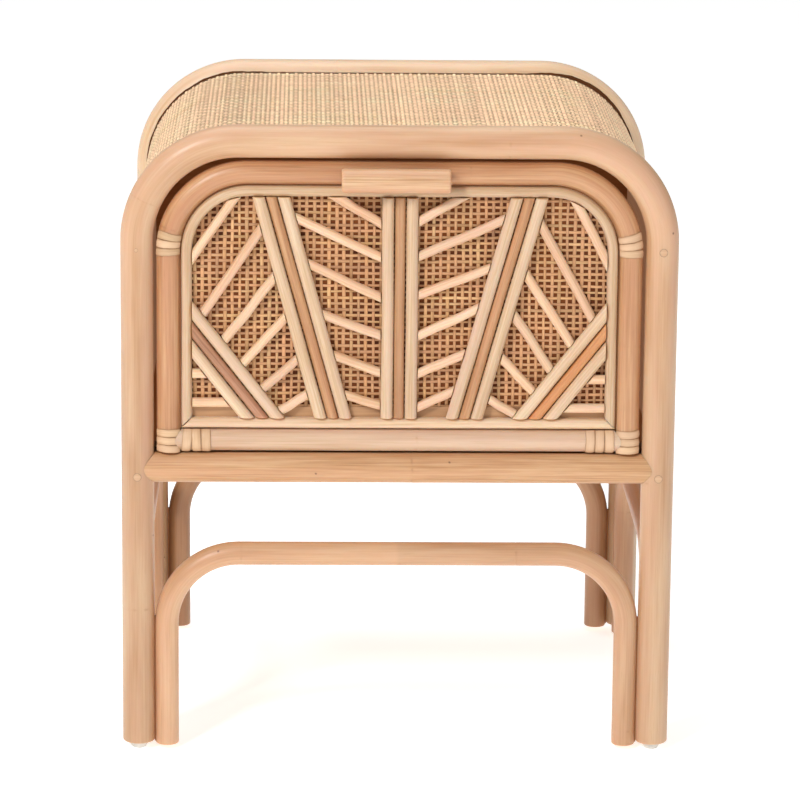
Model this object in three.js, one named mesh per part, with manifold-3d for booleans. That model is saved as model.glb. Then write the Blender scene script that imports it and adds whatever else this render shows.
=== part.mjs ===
// Side table with one drawer, made of bent rattan poles. Two hoops carry a bent plywood case that is
// wrapped in woven cane. The drawer's arched front carries a ray pattern of canes over open webbing.
// Millimetres, +Z up, the drawer faces -Y, and the origin is on the floor under the middle of the box.

import * as THREE from 'three';
import { mergeVertices } from 'three/addons/utils/BufferGeometryUtils.js';
import Module from 'manifold-3d';

const wasm = await Module();
wasm.setup();

// ---------------------------------------------------------------- driving dimensions

// Frame
const width = 480;              // over the hoops, side to side
const depth = 400;              // over the hoops, front to back
const height = 555;             // floor to the top of the hoops
const hoopDiameter = 28.5;
const hoopBend = 87;            // corner radius of a hoop's centre line
const railDiameter = 26.8;
const railHeight = 254.3;       // floor to the rails' centre line
const braceDiameter = 20.6;
const braceBend = 63;           // corner radius of a brace's centre line
const braceHeight = 176.7;      // floor to the centre line of a brace's top run
const braceFootHeight = 4;      // the braces hang clear of the floor
const glideDiameter = 16;
const glideHeight = 6;
const plugDiameter = 8;         // wooden plugs over the screws in the front legs
const plugDepth = 6;
const upperPlugDrop = 5.75;     // below the start of the hoop's bend
const lowerPlugDrop = 6.3;      // below the rails' centre line

// Case between the hoops
const caseInset = 10.5;         // hoop's outer surface to the weave's outer surface
const weaveThickness = 1.6;
const shellThickness = 6;
const backPanelThickness = 6;
const backPanelInset = 7;       // shell's back edge to the panel
const floorPanelThickness = 6;
const reedDiameter = 4;

// Drawer front
const drawerGap = 2.1;          // drawer hoop to the front hoop, at the sides and the top
const drawerLift = 0.8;         // drawer's bottom rail above the front rail
const drawerPoleDiameter = 21;
const drawerRailRelief = 0.6;   // its bottom rail is this much thinner than its hoop
const drawerBend = 69;          // corner radius of the drawer hoop's centre line
const drawerSetback = 1.75;     // drawer hoop's axis behind the front hoop's axis
const frontPanelThickness = 9;
const webbingThickness = 1.5;
const trimWidth = 9.6;
const trimRise = 8;             // trim's height above the webbing
const handleDiameter = 21;
const handleLength = 93;
const handleOffset = -4;        // the rod sits a little left of the middle
const handleDrop = 3.6;         // its axis below the axis of the drawer hoop's top run
const handleChamfer = 1.5;

// Bindings of cane peel on the drawer front
const bindingThickness = 1.2;
const bindingReach = 58;        // degrees round the pole, to each side of its front
const uprightBindingDrop = 71.9; // its lower end below the axis of the drawer hoop's top run
const uprightBindingLength = 20;
const cornerBindingLength = 20.8;
const railBindingLength = 25;

// Ray pattern on the drawer front
const lightCaneDiameter = 10.8;
const tanCaneDiameter = 9.4;
const rayTilt = 15.5;           // degrees from upright
const cornerTilt = 52;          // degrees from level
const cornerRise = 77;          // where a corner bundle's middle meets the side trim, above the bottom trim
const stickDiameter = 8;
const stickSink = 0.4;          // how deep the sticks are let into the webbing
const sticksPerFan = 6;
const innerStickMargin = 10;    // lowest inner stick above the opening's bottom
const innerStickTopMargin = 22; // highest inner stick below the opening's top
const innerStickTilt = [20, 29];      // degrees from level, lowest and highest
const outerStickMargin = 19;    // lowest outer stick above the opening's bottom
const outerStickTopMargin = 26; // the last stick but one below the opening's top
const outerStickTilt = [31.5, 58.7];  // degrees from level, lowest and highest
const shortStickHeights = [11, 36.5]; // level sticks above the opening's bottom

// Drawer box, runners and stops
const boardThickness = 12;
const drawerBoxLength = 310;
const drawerSideDrop = 15.4;    // top of the sides below the start of the drawer hoop's bend
const drawerBackDrop = 10;      // back board's top below the sides
const drawerBottomThickness = 5;
const drawerBottomLift = 5;     // above the lower edge of the sides
const runnerThickness = 6;
const runnerClearance = 0.5;    // under the drawer's sides
const guideClearance = 1.5;     // beside the drawer's sides
const guideHeight = 32;
const guideThickness = 12;
const runnerSetback = 2.3;      // behind the closed drawer's front poles
const stopClearance = 0.5;
const stopWidth = 20;
const stopHeight = 20;

// Fits and facets
const touchGap = 0.3;           // between pieces that touch
const cornerSteps = 6;          // facets along a bent corner
const thickSides = 16;          // facets round hoops and rails
const poleSides = 12;           // facets round braces, drawer poles and the handle
const thinSides = 8;            // facets round canes, sticks and reed
const farOut = 1000;            // longer than anything here, for cutting shapes

// ---------------------------------------------------------------- places worked out from them

const hoopRadius = hoopDiameter / 2;
const legX = width / 2 - hoopRadius;
const legY = depth / 2 - hoopRadius;
const hoopTop = height - hoopRadius;
const legFoot = glideHeight + touchGap;
const railTop = railHeight + railDiameter / 2;
const braceOffset = hoopRadius + braceDiameter / 2 + touchGap;

const caseOuterX = width / 2 - caseInset;
const caseTop = height - caseInset;
const caseBend = hoopBend + hoopRadius - caseInset;
const shellInset = weaveThickness + touchGap;
const shellInnerX = caseOuterX - shellInset - shellThickness;
const caseHalfDepth = legY - hoopRadius - touchGap;
const caseFoot = railTop + touchGap;
const plugHeights = { upper: hoopTop - hoopBend - upperPlugDrop, lower: railHeight - lowerPlugDrop };
const backPanelFront = caseHalfDepth - backPanelInset - backPanelThickness;

const drawerPoleRadius = drawerPoleDiameter / 2;
const drawerRailRadius = (drawerPoleDiameter - drawerRailRelief) / 2;
const drawerY = -legY + drawerSetback;
const drawerX = legX - hoopRadius - drawerGap - drawerPoleRadius;
const drawerTop = hoopTop - hoopRadius - drawerGap - drawerPoleRadius;
const drawerFoot = railTop + drawerLift;
const drawerRailHeight = drawerFoot + drawerPoleRadius;
const frontPanelBack = drawerY + drawerPoleRadius;
const frontPanelFront = frontPanelBack - frontPanelThickness;
const webbingFront = frontPanelFront - touchGap - webbingThickness;
const uprightBindingBottom = drawerTop - uprightBindingDrop;

// The frame that the trim fills, and the opening that it leaves for the pattern
const rebateX = drawerX - drawerPoleRadius - touchGap;
const rebateTop = drawerTop - drawerPoleRadius - touchGap;
const rebateBottom = drawerRailHeight + drawerPoleRadius + touchGap;
const rebateBend = drawerBend - drawerPoleRadius - touchGap;
const openingX = rebateX - trimWidth - touchGap;
const openingTop = rebateTop - trimWidth - touchGap;
const openingBottom = rebateBottom + trimWidth + touchGap;
const openingBend = rebateBend - trimWidth - touchGap;
const patternBack = webbingFront - touchGap;

const runnerTop = caseFoot + runnerThickness;
const runnerFront = Math.max(-caseHalfDepth, drawerY + drawerPoleRadius + runnerSetback);
const boxOuterX = rebateX;
const boxInnerX = boxOuterX - boardThickness;
const boxFront = frontPanelBack + touchGap;
const boxBack = boxFront + drawerBoxLength;
const boxBottom = runnerTop + runnerClearance;
const boxTop = drawerTop - drawerBend - drawerSideDrop;
const boxFloor = boxBottom + drawerBottomLift;

const handleReach = Math.sqrt((drawerPoleRadius + handleDiameter / 2 + touchGap) ** 2 - handleDrop ** 2);
const handleY = drawerY - handleReach;
const handleFront = handleY - handleDiameter / 2;

// ---------------------------------------------------------------- finishes

const finishes = {
  rattan: { color: 0xdcb085, roughness: 0.45 },
  drawerRattan: { color: 0xd7a57b, roughness: 0.45 },
  lightCane: { color: 0xe9cda6, roughness: 0.5 },
  tanCane: { color: 0xc99b66, roughness: 0.5 },
  peel: { color: 0xe4c795, roughness: 0.4 },
  openWebbing: { color: 0xc08f58, roughness: 0.6 },
  closeWeave: { color: 0xe3c293, roughness: 0.6 },
  plywood: { color: 0xa87b50, roughness: 0.7 },
  softwood: { color: 0xd8b98c, roughness: 0.7 },
  glide: { color: 0xd9d8d3, roughness: 0.5 },
  plug: { color: 0xcaa074, roughness: 0.6 },
};

const table = new THREE.Group();

function addPiece(name, shape, finish) {
  const geometry = shape.isBufferGeometry ? shape : toGeometry(shape);
  const material = new THREE.MeshStandardMaterial({ ...finishes[finish], metalness: 0 });
  const mesh = new THREE.Mesh(geometry, material);
  mesh.name = name;
  table.add(mesh);
}

// ---------------------------------------------------------------- solids for cutting and joining

function toSolid(geometry) {
  const bare = geometry.clone();
  bare.deleteAttribute('normal');
  bare.deleteAttribute('uv');
  const merged = mergeVertices(bare, 1e-3);
  const vertProperties = new Float32Array(merged.attributes.position.array);
  const triVerts = new Uint32Array(merged.index.array);
  return new wasm.Manifold(new wasm.Mesh({ numProp: 3, vertProperties, triVerts }));
}

function toGeometry(solid) {
  const { vertProperties, triVerts } = solid.getMesh();
  const geometry = new THREE.BufferGeometry();
  geometry.setAttribute('position', new THREE.BufferAttribute(vertProperties, 3));
  geometry.setIndex(new THREE.BufferAttribute(triVerts, 1));
  return geometry;
}

function joinAll(solids) {
  return solids.reduce((joined, solid) => joined.add(solid));
}

// ---------------------------------------------------------------- shapes

const degrees = THREE.MathUtils.degToRad;

// A radius whose facets, not only their corners, lie outside the true circle
function clearRadius(radius, sides) {
  return (radius + touchGap) / Math.cos(Math.PI / sides);
}

function roundSection(radius, sides) {
  const points = [];
  for (let i = 0; i < sides; i += 1) {
    const angle = (2 * Math.PI * i) / sides;
    points.push(new THREE.Vector2(radius * Math.cos(angle), radius * Math.sin(angle)));
  }
  return new THREE.Shape(points);
}

// A dome on a flat back. x runs across the section, and y points to the front.
function halfRoundSection(across, rise) {
  const points = [];
  for (let i = 0; i <= cornerSteps; i += 1) {
    const angle = (Math.PI * i) / cornerSteps;
    points.push(new THREE.Vector2((across / 2) * Math.cos(angle), rise * Math.sin(angle)));
  }
  return new THREE.Shape(points);
}

// The corner places of an arch, from the left foot over the top to the right foot, each with the
// direction that points out of the arch there.
function archStations(halfSpan, top, foot, bend) {
  const stations = [{ x: -halfSpan, z: foot, angle: Math.PI }];
  for (const side of [-1, 1]) {
    for (let i = 0; i <= cornerSteps; i += 1) {
      const turn = (Math.PI / 2) * (i / cornerSteps);
      const angle = side < 0 ? Math.PI - turn : Math.PI / 2 - turn;
      const x = side * (halfSpan - bend) + bend * Math.cos(angle);
      const z = top - bend + bend * Math.sin(angle);
      stations.push({ x, z, angle });
    }
  }
  stations.push({ x: halfSpan, z: foot, angle: 0 });
  return stations;
}

function archPoints(halfSpan, top, foot, bend) {
  return archStations(halfSpan, top, foot, bend).map(({ x, z }) => new THREE.Vector2(x, z));
}

// The centre line of a bent pole in the plane y = 0, with its frames. The frame's first side points
// out of the arch and its second side points to the front.
class ArchPath extends THREE.Curve {
  constructor(stations) {
    super();
    this.stations = stations;
  }

  getSpacedPoints() {
    return this.stations.map(({ x, z }) => new THREE.Vector3(x, 0, z));
  }

  computeFrenetFrames() {
    const angles = this.stations.map(({ angle }) => angle);
    return {
      tangents: angles.map((angle) => new THREE.Vector3(Math.sin(angle), 0, -Math.cos(angle))),
      normals: angles.map((angle) => new THREE.Vector3(Math.cos(angle), 0, Math.sin(angle))),
      binormals: angles.map(() => new THREE.Vector3(0, -1, 0)),
    };
  }
}

function bentPole(halfSpan, top, foot, bend, section) {
  const extrudePath = new ArchPath(archStations(halfSpan, top, foot, bend));
  const steps = extrudePath.stations.length - 1;
  return new THREE.ExtrudeGeometry(section, { extrudePath, steps });
}

// A flat outline in x and z, given a thickness along y
function board(points, front, thickness) {
  const shape = new THREE.Shape(points);
  const geometry = new THREE.ExtrudeGeometry(shape, { depth: thickness, bevelEnabled: false });
  geometry.rotateX(Math.PI / 2);
  geometry.translate(0, front + thickness, 0);
  return geometry;
}

// A section in y and z, given a length along x
function lengthwise(points, left, length) {
  const geometry = new THREE.ExtrudeGeometry(new THREE.Shape(points), { depth: length, bevelEnabled: false });
  geometry.rotateX(Math.PI / 2);
  geometry.rotateZ(Math.PI / 2);
  geometry.translate(left, 0, 0);
  return geometry;
}

function block(low, high) {
  const geometry = new THREE.BoxGeometry(high[0] - low[0], high[1] - low[1], high[2] - low[2]);
  geometry.translate((low[0] + high[0]) / 2, (low[1] + high[1]) / 2, (low[2] + high[2]) / 2);
  return geometry;
}

function straightPole(start, end, radius, sides) {
  const from = new THREE.Vector3(...start);
  const along = new THREE.Vector3(...end).sub(from);
  const geometry = new THREE.CylinderGeometry(radius, radius, along.length(), sides);
  const across = new THREE.Vector3(0, 1, 0);
  const turn = new THREE.Quaternion().setFromUnitVectors(across, along.clone().normalize());
  geometry.applyQuaternion(turn);
  const middle = from.addScaledVector(along, 0.5);
  geometry.translate(middle.x, middle.y, middle.z);
  return geometry;
}

function upright(x, y, radius, sides) {
  return straightPole([x, y, -farOut], [x, y, farOut], radius, sides);
}

// A strip bent round the front of a pole, as a section in two axes: u across, v to the front
function bindingSection(poleRadius) {
  const points = [];
  const halfStep = degrees(bindingReach / cornerSteps);
  const inner = (poleRadius + touchGap) / Math.cos(halfStep);
  const outer = inner + bindingThickness;
  for (let i = 0; i <= cornerSteps; i += 1) {
    const angle = -degrees(bindingReach) + 2 * halfStep * i;
    points.push(new THREE.Vector2(outer * Math.sin(angle), outer * Math.cos(angle)));
  }
  for (let i = cornerSteps; i >= 0; i -= 1) {
    const angle = -degrees(bindingReach) + 2 * halfStep * i;
    points.push(new THREE.Vector2(inner * Math.sin(angle), inner * Math.cos(angle)));
  }
  return points;
}

// ---------------------------------------------------------------- frame

function hoop(y) {
  const geometry = bentPole(legX, hoopTop, legFoot, hoopBend, roundSection(hoopRadius, thickSides));
  geometry.translate(0, y, 0);
  return geometry;
}

// A plug's cylinder, from just under the leg's front surface back into the pole
function plug(x, z, radius, front) {
  const back = -legY - hoopRadius + plugDepth;
  return straightPole([x, front, z], [x, back, z], radius, poleSides);
}

function plugHoles() {
  const radius = clearRadius(plugDiameter / 2, poleSides);
  const holes = [];
  for (const x of [-legX, legX]) {
    for (const z of Object.values(plugHeights)) {
      const hole = plug(x, z, radius, -depth);
      hole.translate(0, touchGap, 0);
      holes.push(toSolid(hole));
    }
  }
  return joinAll(holes);
}

function legCutters() {
  const radius = clearRadius(hoopRadius, thickSides);
  const cutters = [];
  for (const x of [-legX, legX]) {
    for (const y of [-legY, legY]) {
      cutters.push(toSolid(upright(x, y, radius, thickSides)));
    }
  }
  return joinAll(cutters);
}

function crossRail(y, radius) {
  return toSolid(straightPole([-legX, y, railHeight], [legX, y, railHeight], radius, thickSides));
}

function sideRail(x) {
  const radius = railDiameter / 2;
  return toSolid(straightPole([x, -legY, railHeight], [x, legY, railHeight], radius, thickSides));
}

function brace(halfSpan) {
  const section = roundSection(braceDiameter / 2, poleSides);
  return bentPole(halfSpan, braceHeight, braceFootHeight, braceBend, section);
}

function buildFrame() {
  addPiece('front_hoop', toSolid(hoop(-legY)).subtract(plugHoles()), 'rattan');
  addPiece('back_hoop', hoop(legY), 'rattan');

  const legs = legCutters();
  const railRadius = railDiameter / 2;
  const crossCut = clearRadius(railRadius, thickSides);
  const crossRailSpace = crossRail(-legY, crossCut).add(crossRail(legY, crossCut));
  addPiece('front_rail', crossRail(-legY, railRadius).subtract(legs), 'rattan');
  addPiece('back_rail', crossRail(legY, railRadius).subtract(legs), 'rattan');
  addPiece('left_rail', sideRail(-legX).subtract(legs).subtract(crossRailSpace), 'rattan');
  addPiece('right_rail', sideRail(legX).subtract(legs).subtract(crossRailSpace), 'rattan');

  const frontBrace = brace(legX - braceOffset);
  addPiece('front_brace', frontBrace.clone().translate(0, -legY, 0), 'rattan');
  addPiece('back_brace', frontBrace.clone().translate(0, legY, 0), 'rattan');
  const sideBrace = brace(legY - braceOffset).rotateZ(Math.PI / 2);
  addPiece('left_brace', sideBrace.clone().translate(-legX, 0, 0), 'rattan');
  addPiece('right_brace', sideBrace.clone().translate(legX, 0, 0), 'rattan');

  const plugFront = -legY - Math.sqrt(hoopRadius ** 2 - (plugDiameter / 2) ** 2);
  for (const [side, x] of [['left', -legX], ['right', legX]]) {
    for (const [end, y] of [['front', -legY], ['back', legY]]) {
      const glide = straightPole([x, y, 0], [x, y, glideHeight], glideDiameter / 2, poleSides);
      addPiece(`${end}_${side}_glide`, glide, 'glide');
    }
    for (const [level, z] of Object.entries(plugHeights)) {
      addPiece(`${side}_${level}_plug`, plug(x, z, plugDiameter / 2, plugFront), 'plug');
    }
  }
}

// ---------------------------------------------------------------- case

// An arch of even thickness that stands `inset` inside the weave's outer surface
function caseLayer(inset, thickness) {
  const outer = archPoints(caseOuterX - inset, caseTop - inset, caseFoot, caseBend - inset);
  const deep = inset + thickness;
  const inner = archPoints(caseOuterX - deep, caseTop - deep, caseFoot, caseBend - deep);
  return board([...outer, ...inner.reverse()], -caseHalfDepth, 2 * caseHalfDepth);
}

function caseReed() {
  const radius = reedDiameter / 2;
  const outset = radius + touchGap;
  const hoopAxisDepth = hoopRadius - caseInset;
  const reedRise = hoopAxisDepth + outset;
  const reach = Math.sqrt((hoopRadius + outset) ** 2 - reedRise ** 2);
  const section = roundSection(radius, thinSides);
  const geometry = bentPole(caseOuterX + outset, caseTop + outset, caseFoot, caseBend + outset, section);
  geometry.translate(0, -legY + reach, 0);
  return geometry;
}

function buildCase() {
  addPiece('case_weave', caseLayer(0, weaveThickness), 'closeWeave');
  addPiece('case_shell', caseLayer(shellInset, shellThickness), 'plywood');
  addPiece('case_front_reed', caseReed(), 'lightCane');

  const panelInset = shellInset + shellThickness + touchGap;
  const panelX = caseOuterX - panelInset;
  const backOutline = archPoints(panelX, caseTop - panelInset, caseFoot, caseBend - panelInset);
  addPiece('back_panel', board(backOutline, backPanelFront, backPanelThickness), 'plywood');

  const floorX = legX - railDiameter / 2 - touchGap;
  const floorY = legY - railDiameter / 2 - touchGap;
  const floorLow = [-floorX, -floorY, railHeight - floorPanelThickness / 2];
  const floorHigh = [floorX, floorY, railHeight + floorPanelThickness / 2];
  addPiece('floor_panel', block(floorLow, floorHigh), 'plywood');
}

// A runner carries the drawer's side from below, and its guide keeps the side in line
function runner(side) {
  const wall = shellInnerX - touchGap;
  const guideInner = boxOuterX + guideClearance;
  const guideTop = runnerTop + guideHeight;
  const section = [
    [boxInnerX, caseFoot],
    [wall, caseFoot],
    [wall, runnerTop],
    [guideInner + guideThickness, runnerTop],
    [guideInner + guideThickness, guideTop],
    [guideInner, guideTop],
    [guideInner, runnerTop],
    [boxInnerX, runnerTop],
  ];
  const points = section.map(([x, z]) => new THREE.Vector2(side * x, z));
  return board(points, runnerFront, backPanelFront - touchGap - runnerFront);
}

function drawerStop(side) {
  const middle = side * (boxInnerX - stopWidth);
  const low = [middle - stopWidth / 2, boxBack + stopClearance, boxFloor];
  const high = [middle + stopWidth / 2, backPanelFront - touchGap, boxFloor + stopHeight];
  return block(low, high);
}

function buildRunners() {
  for (const [name, side] of [['left', -1], ['right', 1]]) {
    addPiece(`${name}_runner`, runner(side), 'softwood');
    addPiece(`${name}_drawer_stop`, drawerStop(side), 'softwood');
  }
}

// ---------------------------------------------------------------- drawer front

function buildDrawerPoles() {
  const section = roundSection(drawerPoleRadius, poleSides);
  const drawerHoop = bentPole(drawerX, drawerTop, drawerFoot, drawerBend, section);
  drawerHoop.translate(0, drawerY, 0);
  addPiece('drawer_hoop', drawerHoop, 'drawerRattan');

  const boundRadius = drawerPoleRadius + touchGap + bindingThickness;
  const cut = clearRadius(boundRadius, poleSides);
  const ends = [-drawerX, drawerX].map((x) => toSolid(upright(x, drawerY, cut, poleSides)));
  const start = [-drawerX, drawerY, drawerRailHeight];
  const end = [drawerX, drawerY, drawerRailHeight];
  const rail = toSolid(straightPole(start, end, drawerRailRadius, poleSides));
  addPiece('drawer_bottom_rail', rail.subtract(joinAll(ends)), 'drawerRattan');
}

function buildTrim() {
  const section = halfRoundSection(trimWidth, trimRise);
  const inset = trimWidth / 2;
  const bend = rebateBend - inset;
  const hoopTrim = bentPole(rebateX - inset, rebateTop - inset, rebateBottom, bend, section);
  hoopTrim.translate(0, patternBack, 0);

  // The mitre: a board as wide as the bottom trim, with 45 degree ends
  const mitre = (clear) => {
    const high = rebateBottom + trimWidth + clear;
    const points = [
      [-rebateX - clear - trimWidth, rebateBottom - trimWidth],
      [rebateX + clear + trimWidth, rebateBottom - trimWidth],
      [rebateX - trimWidth, high],
      [-rebateX + trimWidth, high],
    ];
    return toSolid(board(points.map(([x, z]) => new THREE.Vector2(x, z)), patternBack - farOut / 2, farOut));
  };
  addPiece('trim_hoop', toSolid(hoopTrim).subtract(mitre(2 * touchGap)), 'lightCane');

  const profile = section.getPoints().map(({ x, y }) => new THREE.Vector2(-y, x));
  const bar = lengthwise(profile, -rebateX, 2 * rebateX);
  bar.translate(0, patternBack, rebateBottom + inset);
  addPiece('trim_bottom', toSolid(bar).intersect(mitre(0)), 'lightCane');
}

function buildHandle() {
  const radius = handleDiameter / 2;
  const half = handleLength / 2;
  const profile = [
    [0, -half],
    [radius - handleChamfer, -half],
    [radius, -half + handleChamfer],
    [radius, half - handleChamfer],
    [radius - handleChamfer, half],
    [0, half],
  ];
  const points = profile.map(([x, y]) => new THREE.Vector2(x, y));
  const handle = new THREE.LatheGeometry(points, poleSides);
  handle.rotateZ(-Math.PI / 2);
  handle.translate(handleOffset, handleY, drawerTop - handleDrop);
  addPiece('drawer_handle', handle, 'lightCane');
}

// A binding follows its upright into the bend, so it is a slice of a strip along the whole hoop
function uprightBinding(side, bottom, length) {
  const section = new THREE.Shape(bindingSection(drawerPoleRadius));
  const strip = bentPole(drawerX, drawerTop, drawerFoot, drawerBend, section);
  strip.translate(0, drawerY, 0);
  const near = side * (drawerX - drawerBend);
  const far = side * farOut;
  const low = [Math.min(near, far), -farOut, bottom];
  const high = [Math.max(near, far), farOut, bottom + length];
  return toSolid(strip).intersect(toSolid(block(low, high)));
}

function railBinding(side) {
  const profile = bindingSection(drawerRailRadius).map(({ x, y }) => new THREE.Vector2(-y, x));
  const railEnd = drawerX - drawerPoleRadius - bindingThickness;
  const left = side < 0 ? -railEnd : railEnd - railBindingLength;
  const geometry = lengthwise(profile, left, railBindingLength);
  geometry.translate(0, drawerY, drawerRailHeight);
  return geometry;
}

function buildBindings() {
  for (const [name, side] of [['left', -1], ['right', 1]]) {
    const upper = uprightBinding(side, uprightBindingBottom, uprightBindingLength);
    addPiece(`${name}_upright_binding`, upper, 'peel');
    addPiece(`${name}_corner_binding`, uprightBinding(side, drawerFoot, cornerBindingLength), 'peel');
    addPiece(`${name}_rail_binding`, railBinding(side), 'peel');
  }
}

// ---------------------------------------------------------------- ray pattern

const bundleWidth = 2 * lightCaneDiameter + tanCaneDiameter + 2 * touchGap;
const cornerAngle = degrees(cornerTilt);
const rayAngle = degrees(90 - rayTilt);
const cornerFootX = openingX - cornerRise / Math.tan(cornerAngle);
const cornerFootInner = cornerFootX - bundleWidth / 2 / Math.sin(cornerAngle);
const rayFootX = (bundleWidth / 2 + cornerFootInner) / 2;
const bundleEdge = bundleWidth / 2 + touchGap;

const rayAt = (z) => rayFootX + (z - openingBottom) / Math.tan(rayAngle);
const rayEdge = bundleEdge / Math.sin(rayAngle);

function openingBoard(clear) {
  const bend = openingBend - clear;
  const outline = archPoints(openingX - clear, openingTop - clear, openingBottom + clear, bend);
  return toSolid(board(outline, patternBack - farOut / 2, farOut));
}

function buildBundles() {
  const opening = openingBoard(0);
  const bundles = [
    ['centre', 0, openingBottom, Math.PI / 2],
    ['left_ray', -rayFootX, openingBottom, Math.PI - rayAngle],
    ['right_ray', rayFootX, openingBottom, rayAngle],
    ['left_corner', -cornerFootX, openingBottom, Math.PI - cornerAngle],
    ['right_corner', cornerFootX, openingBottom, cornerAngle],
  ];
  const pitch = (lightCaneDiameter + tanCaneDiameter) / 2 + touchGap;
  for (const [name, x, z, angle] of bundles) {
    for (const place of [-1, 0, 1]) {
      const diameter = place === 0 ? tanCaneDiameter : lightCaneDiameter;
      const middleX = x + place * pitch * Math.sin(angle);
      const middleZ = z - place * pitch * Math.cos(angle);
      const y = patternBack - diameter / 2;
      const runX = (farOut / 2) * Math.cos(angle);
      const runZ = (farOut / 2) * Math.sin(angle);
      const start = [middleX - runX, y, middleZ - runZ];
      const end = [middleX + runX, y, middleZ + runZ];
      const cane = toSolid(straightPole(start, end, diameter / 2, thinSides)).intersect(opening);
      addPiece(`${name}_cane_${place + 2}`, cane, place === 0 ? 'tanCane' : 'lightCane');
    }
  }
}

// A thin stick through (x, z), long enough to be cut off by its zone at both ends
function stick(side, x, z, angle) {
  const y = webbingFront + stickSink - (stickDiameter / 2) * Math.cos(Math.PI / thinSides);
  const runX = (farOut / 2) * Math.cos(angle);
  const runZ = (farOut / 2) * Math.sin(angle);
  const start = [side * (x - runX), y, z - runZ];
  const end = [side * (x + runX), y, z + runZ];
  const geometry = straightPole(start, end, stickDiameter / 2, thinSides);
  return toSolid(geometry);
}

// The three zones of one half of the pattern, between its bundles
function zones(side) {
  const cornerEdgeX = bundleEdge / Math.sin(cornerAngle);
  const farHeight = openingBottom + farOut * Math.sin(cornerAngle);
  const cornerTop = openingBottom + cornerRise - bundleEdge / Math.cos(cornerAngle);
  const outlines = {
    inner: [
      [bundleEdge, openingBottom],
      [rayAt(openingBottom) - rayEdge, openingBottom],
      [rayAt(openingTop) - rayEdge, openingTop],
      [bundleEdge, openingTop],
    ],
    outer: [
      [rayAt(openingBottom) + rayEdge, openingBottom],
      [cornerFootX - cornerEdgeX, openingBottom],
      [cornerFootX - cornerEdgeX + farOut * Math.cos(cornerAngle), farHeight],
      [rayAt(farHeight) + rayEdge, farHeight],
    ],
    corner: [
      [cornerFootX + cornerEdgeX, openingBottom],
      [openingX, openingBottom],
      [openingX, cornerTop],
    ],
  };
  const solids = {};
  for (const [name, points] of Object.entries(outlines)) {
    const outline = points.map(([x, z]) => new THREE.Vector2(side * x, z));
    solids[name] = toSolid(board(outline, patternBack - farOut / 2, farOut));
  }
  return solids;
}

// Sticks of one half: an inner fan that rises from the middle bundle, an outer fan that falls
// from the ray bundle to the side, and short level sticks in the corner
function halfPattern(side) {
  const { inner, outer, corner } = zones(side);
  const innerSticks = [];
  const outerSticks = [];
  const openingHeight = openingTop - openingBottom;
  const innerPitch = (openingHeight - innerStickMargin - innerStickTopMargin) / (sticksPerFan - 1);
  const outerPitch = (openingHeight - outerStickMargin - outerStickTopMargin) / (sticksPerFan - 2);
  for (let i = 0; i < sticksPerFan; i += 1) {
    const share = i / (sticksPerFan - 1);
    const innerTilt = THREE.MathUtils.lerp(...innerStickTilt, share);
    const innerZ = openingBottom + innerStickMargin + i * innerPitch;
    innerSticks.push(stick(side, bundleEdge, innerZ, degrees(innerTilt)));

    const outerTilt = THREE.MathUtils.lerp(...outerStickTilt, 1 - (1 - share) ** 2);
    const outerZ = openingBottom + outerStickMargin + i * outerPitch;
    outerSticks.push(stick(side, rayAt(outerZ) + rayEdge, outerZ, degrees(180 - outerTilt)));
  }
  const shortSticks = shortStickHeights.map((lift) => stick(side, openingX, openingBottom + lift, 0));
  return joinAll([
    joinAll(innerSticks).intersect(inner),
    joinAll(outerSticks).intersect(outer),
    joinAll(shortSticks).intersect(corner),
  ]);
}

function buildDrawerFace() {
  const outline = archPoints(rebateX, rebateTop, rebateBottom, rebateBend);
  addPiece('drawer_front_panel', board(outline, frontPanelFront, frontPanelThickness), 'plywood');
  const webbing = toSolid(board(outline, webbingFront, webbingThickness));
  const sticks = halfPattern(-1).add(halfPattern(1)).intersect(openingBoard(0));
  addPiece('drawer_webbing', webbing.add(sticks), 'openWebbing');
}

// ---------------------------------------------------------------- drawer box

function buildDrawerBox() {
  const insideX = boxInnerX - touchGap;
  const leftSide = block([-boxOuterX, boxFront, boxBottom], [-boxInnerX, boxBack, boxTop]);
  const rightSide = block([boxInnerX, boxFront, boxBottom], [boxOuterX, boxBack, boxTop]);
  addPiece('drawer_left_side', leftSide, 'softwood');
  addPiece('drawer_right_side', rightSide, 'softwood');
  const floorTop = boxFloor + drawerBottomThickness;
  addPiece('drawer_bottom', block([-insideX, boxFront, boxFloor], [insideX, boxBack, floorTop]), 'plywood');
  const backLow = [-insideX, boxBack - boardThickness, floorTop + touchGap];
  addPiece('drawer_back', block(backLow, [insideX, boxBack, boxTop - drawerBackDrop]), 'softwood');
}

buildFrame();
buildCase();
buildRunners();
buildDrawerPoles();
buildTrim();
buildHandle();
buildBindings();
buildBundles();
buildDrawerFace();
buildDrawerBox();

// Bring the middle of the bounding box, handle included, over the origin
table.position.y = -(handleFront + depth / 2) / 2;

export default table;
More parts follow.
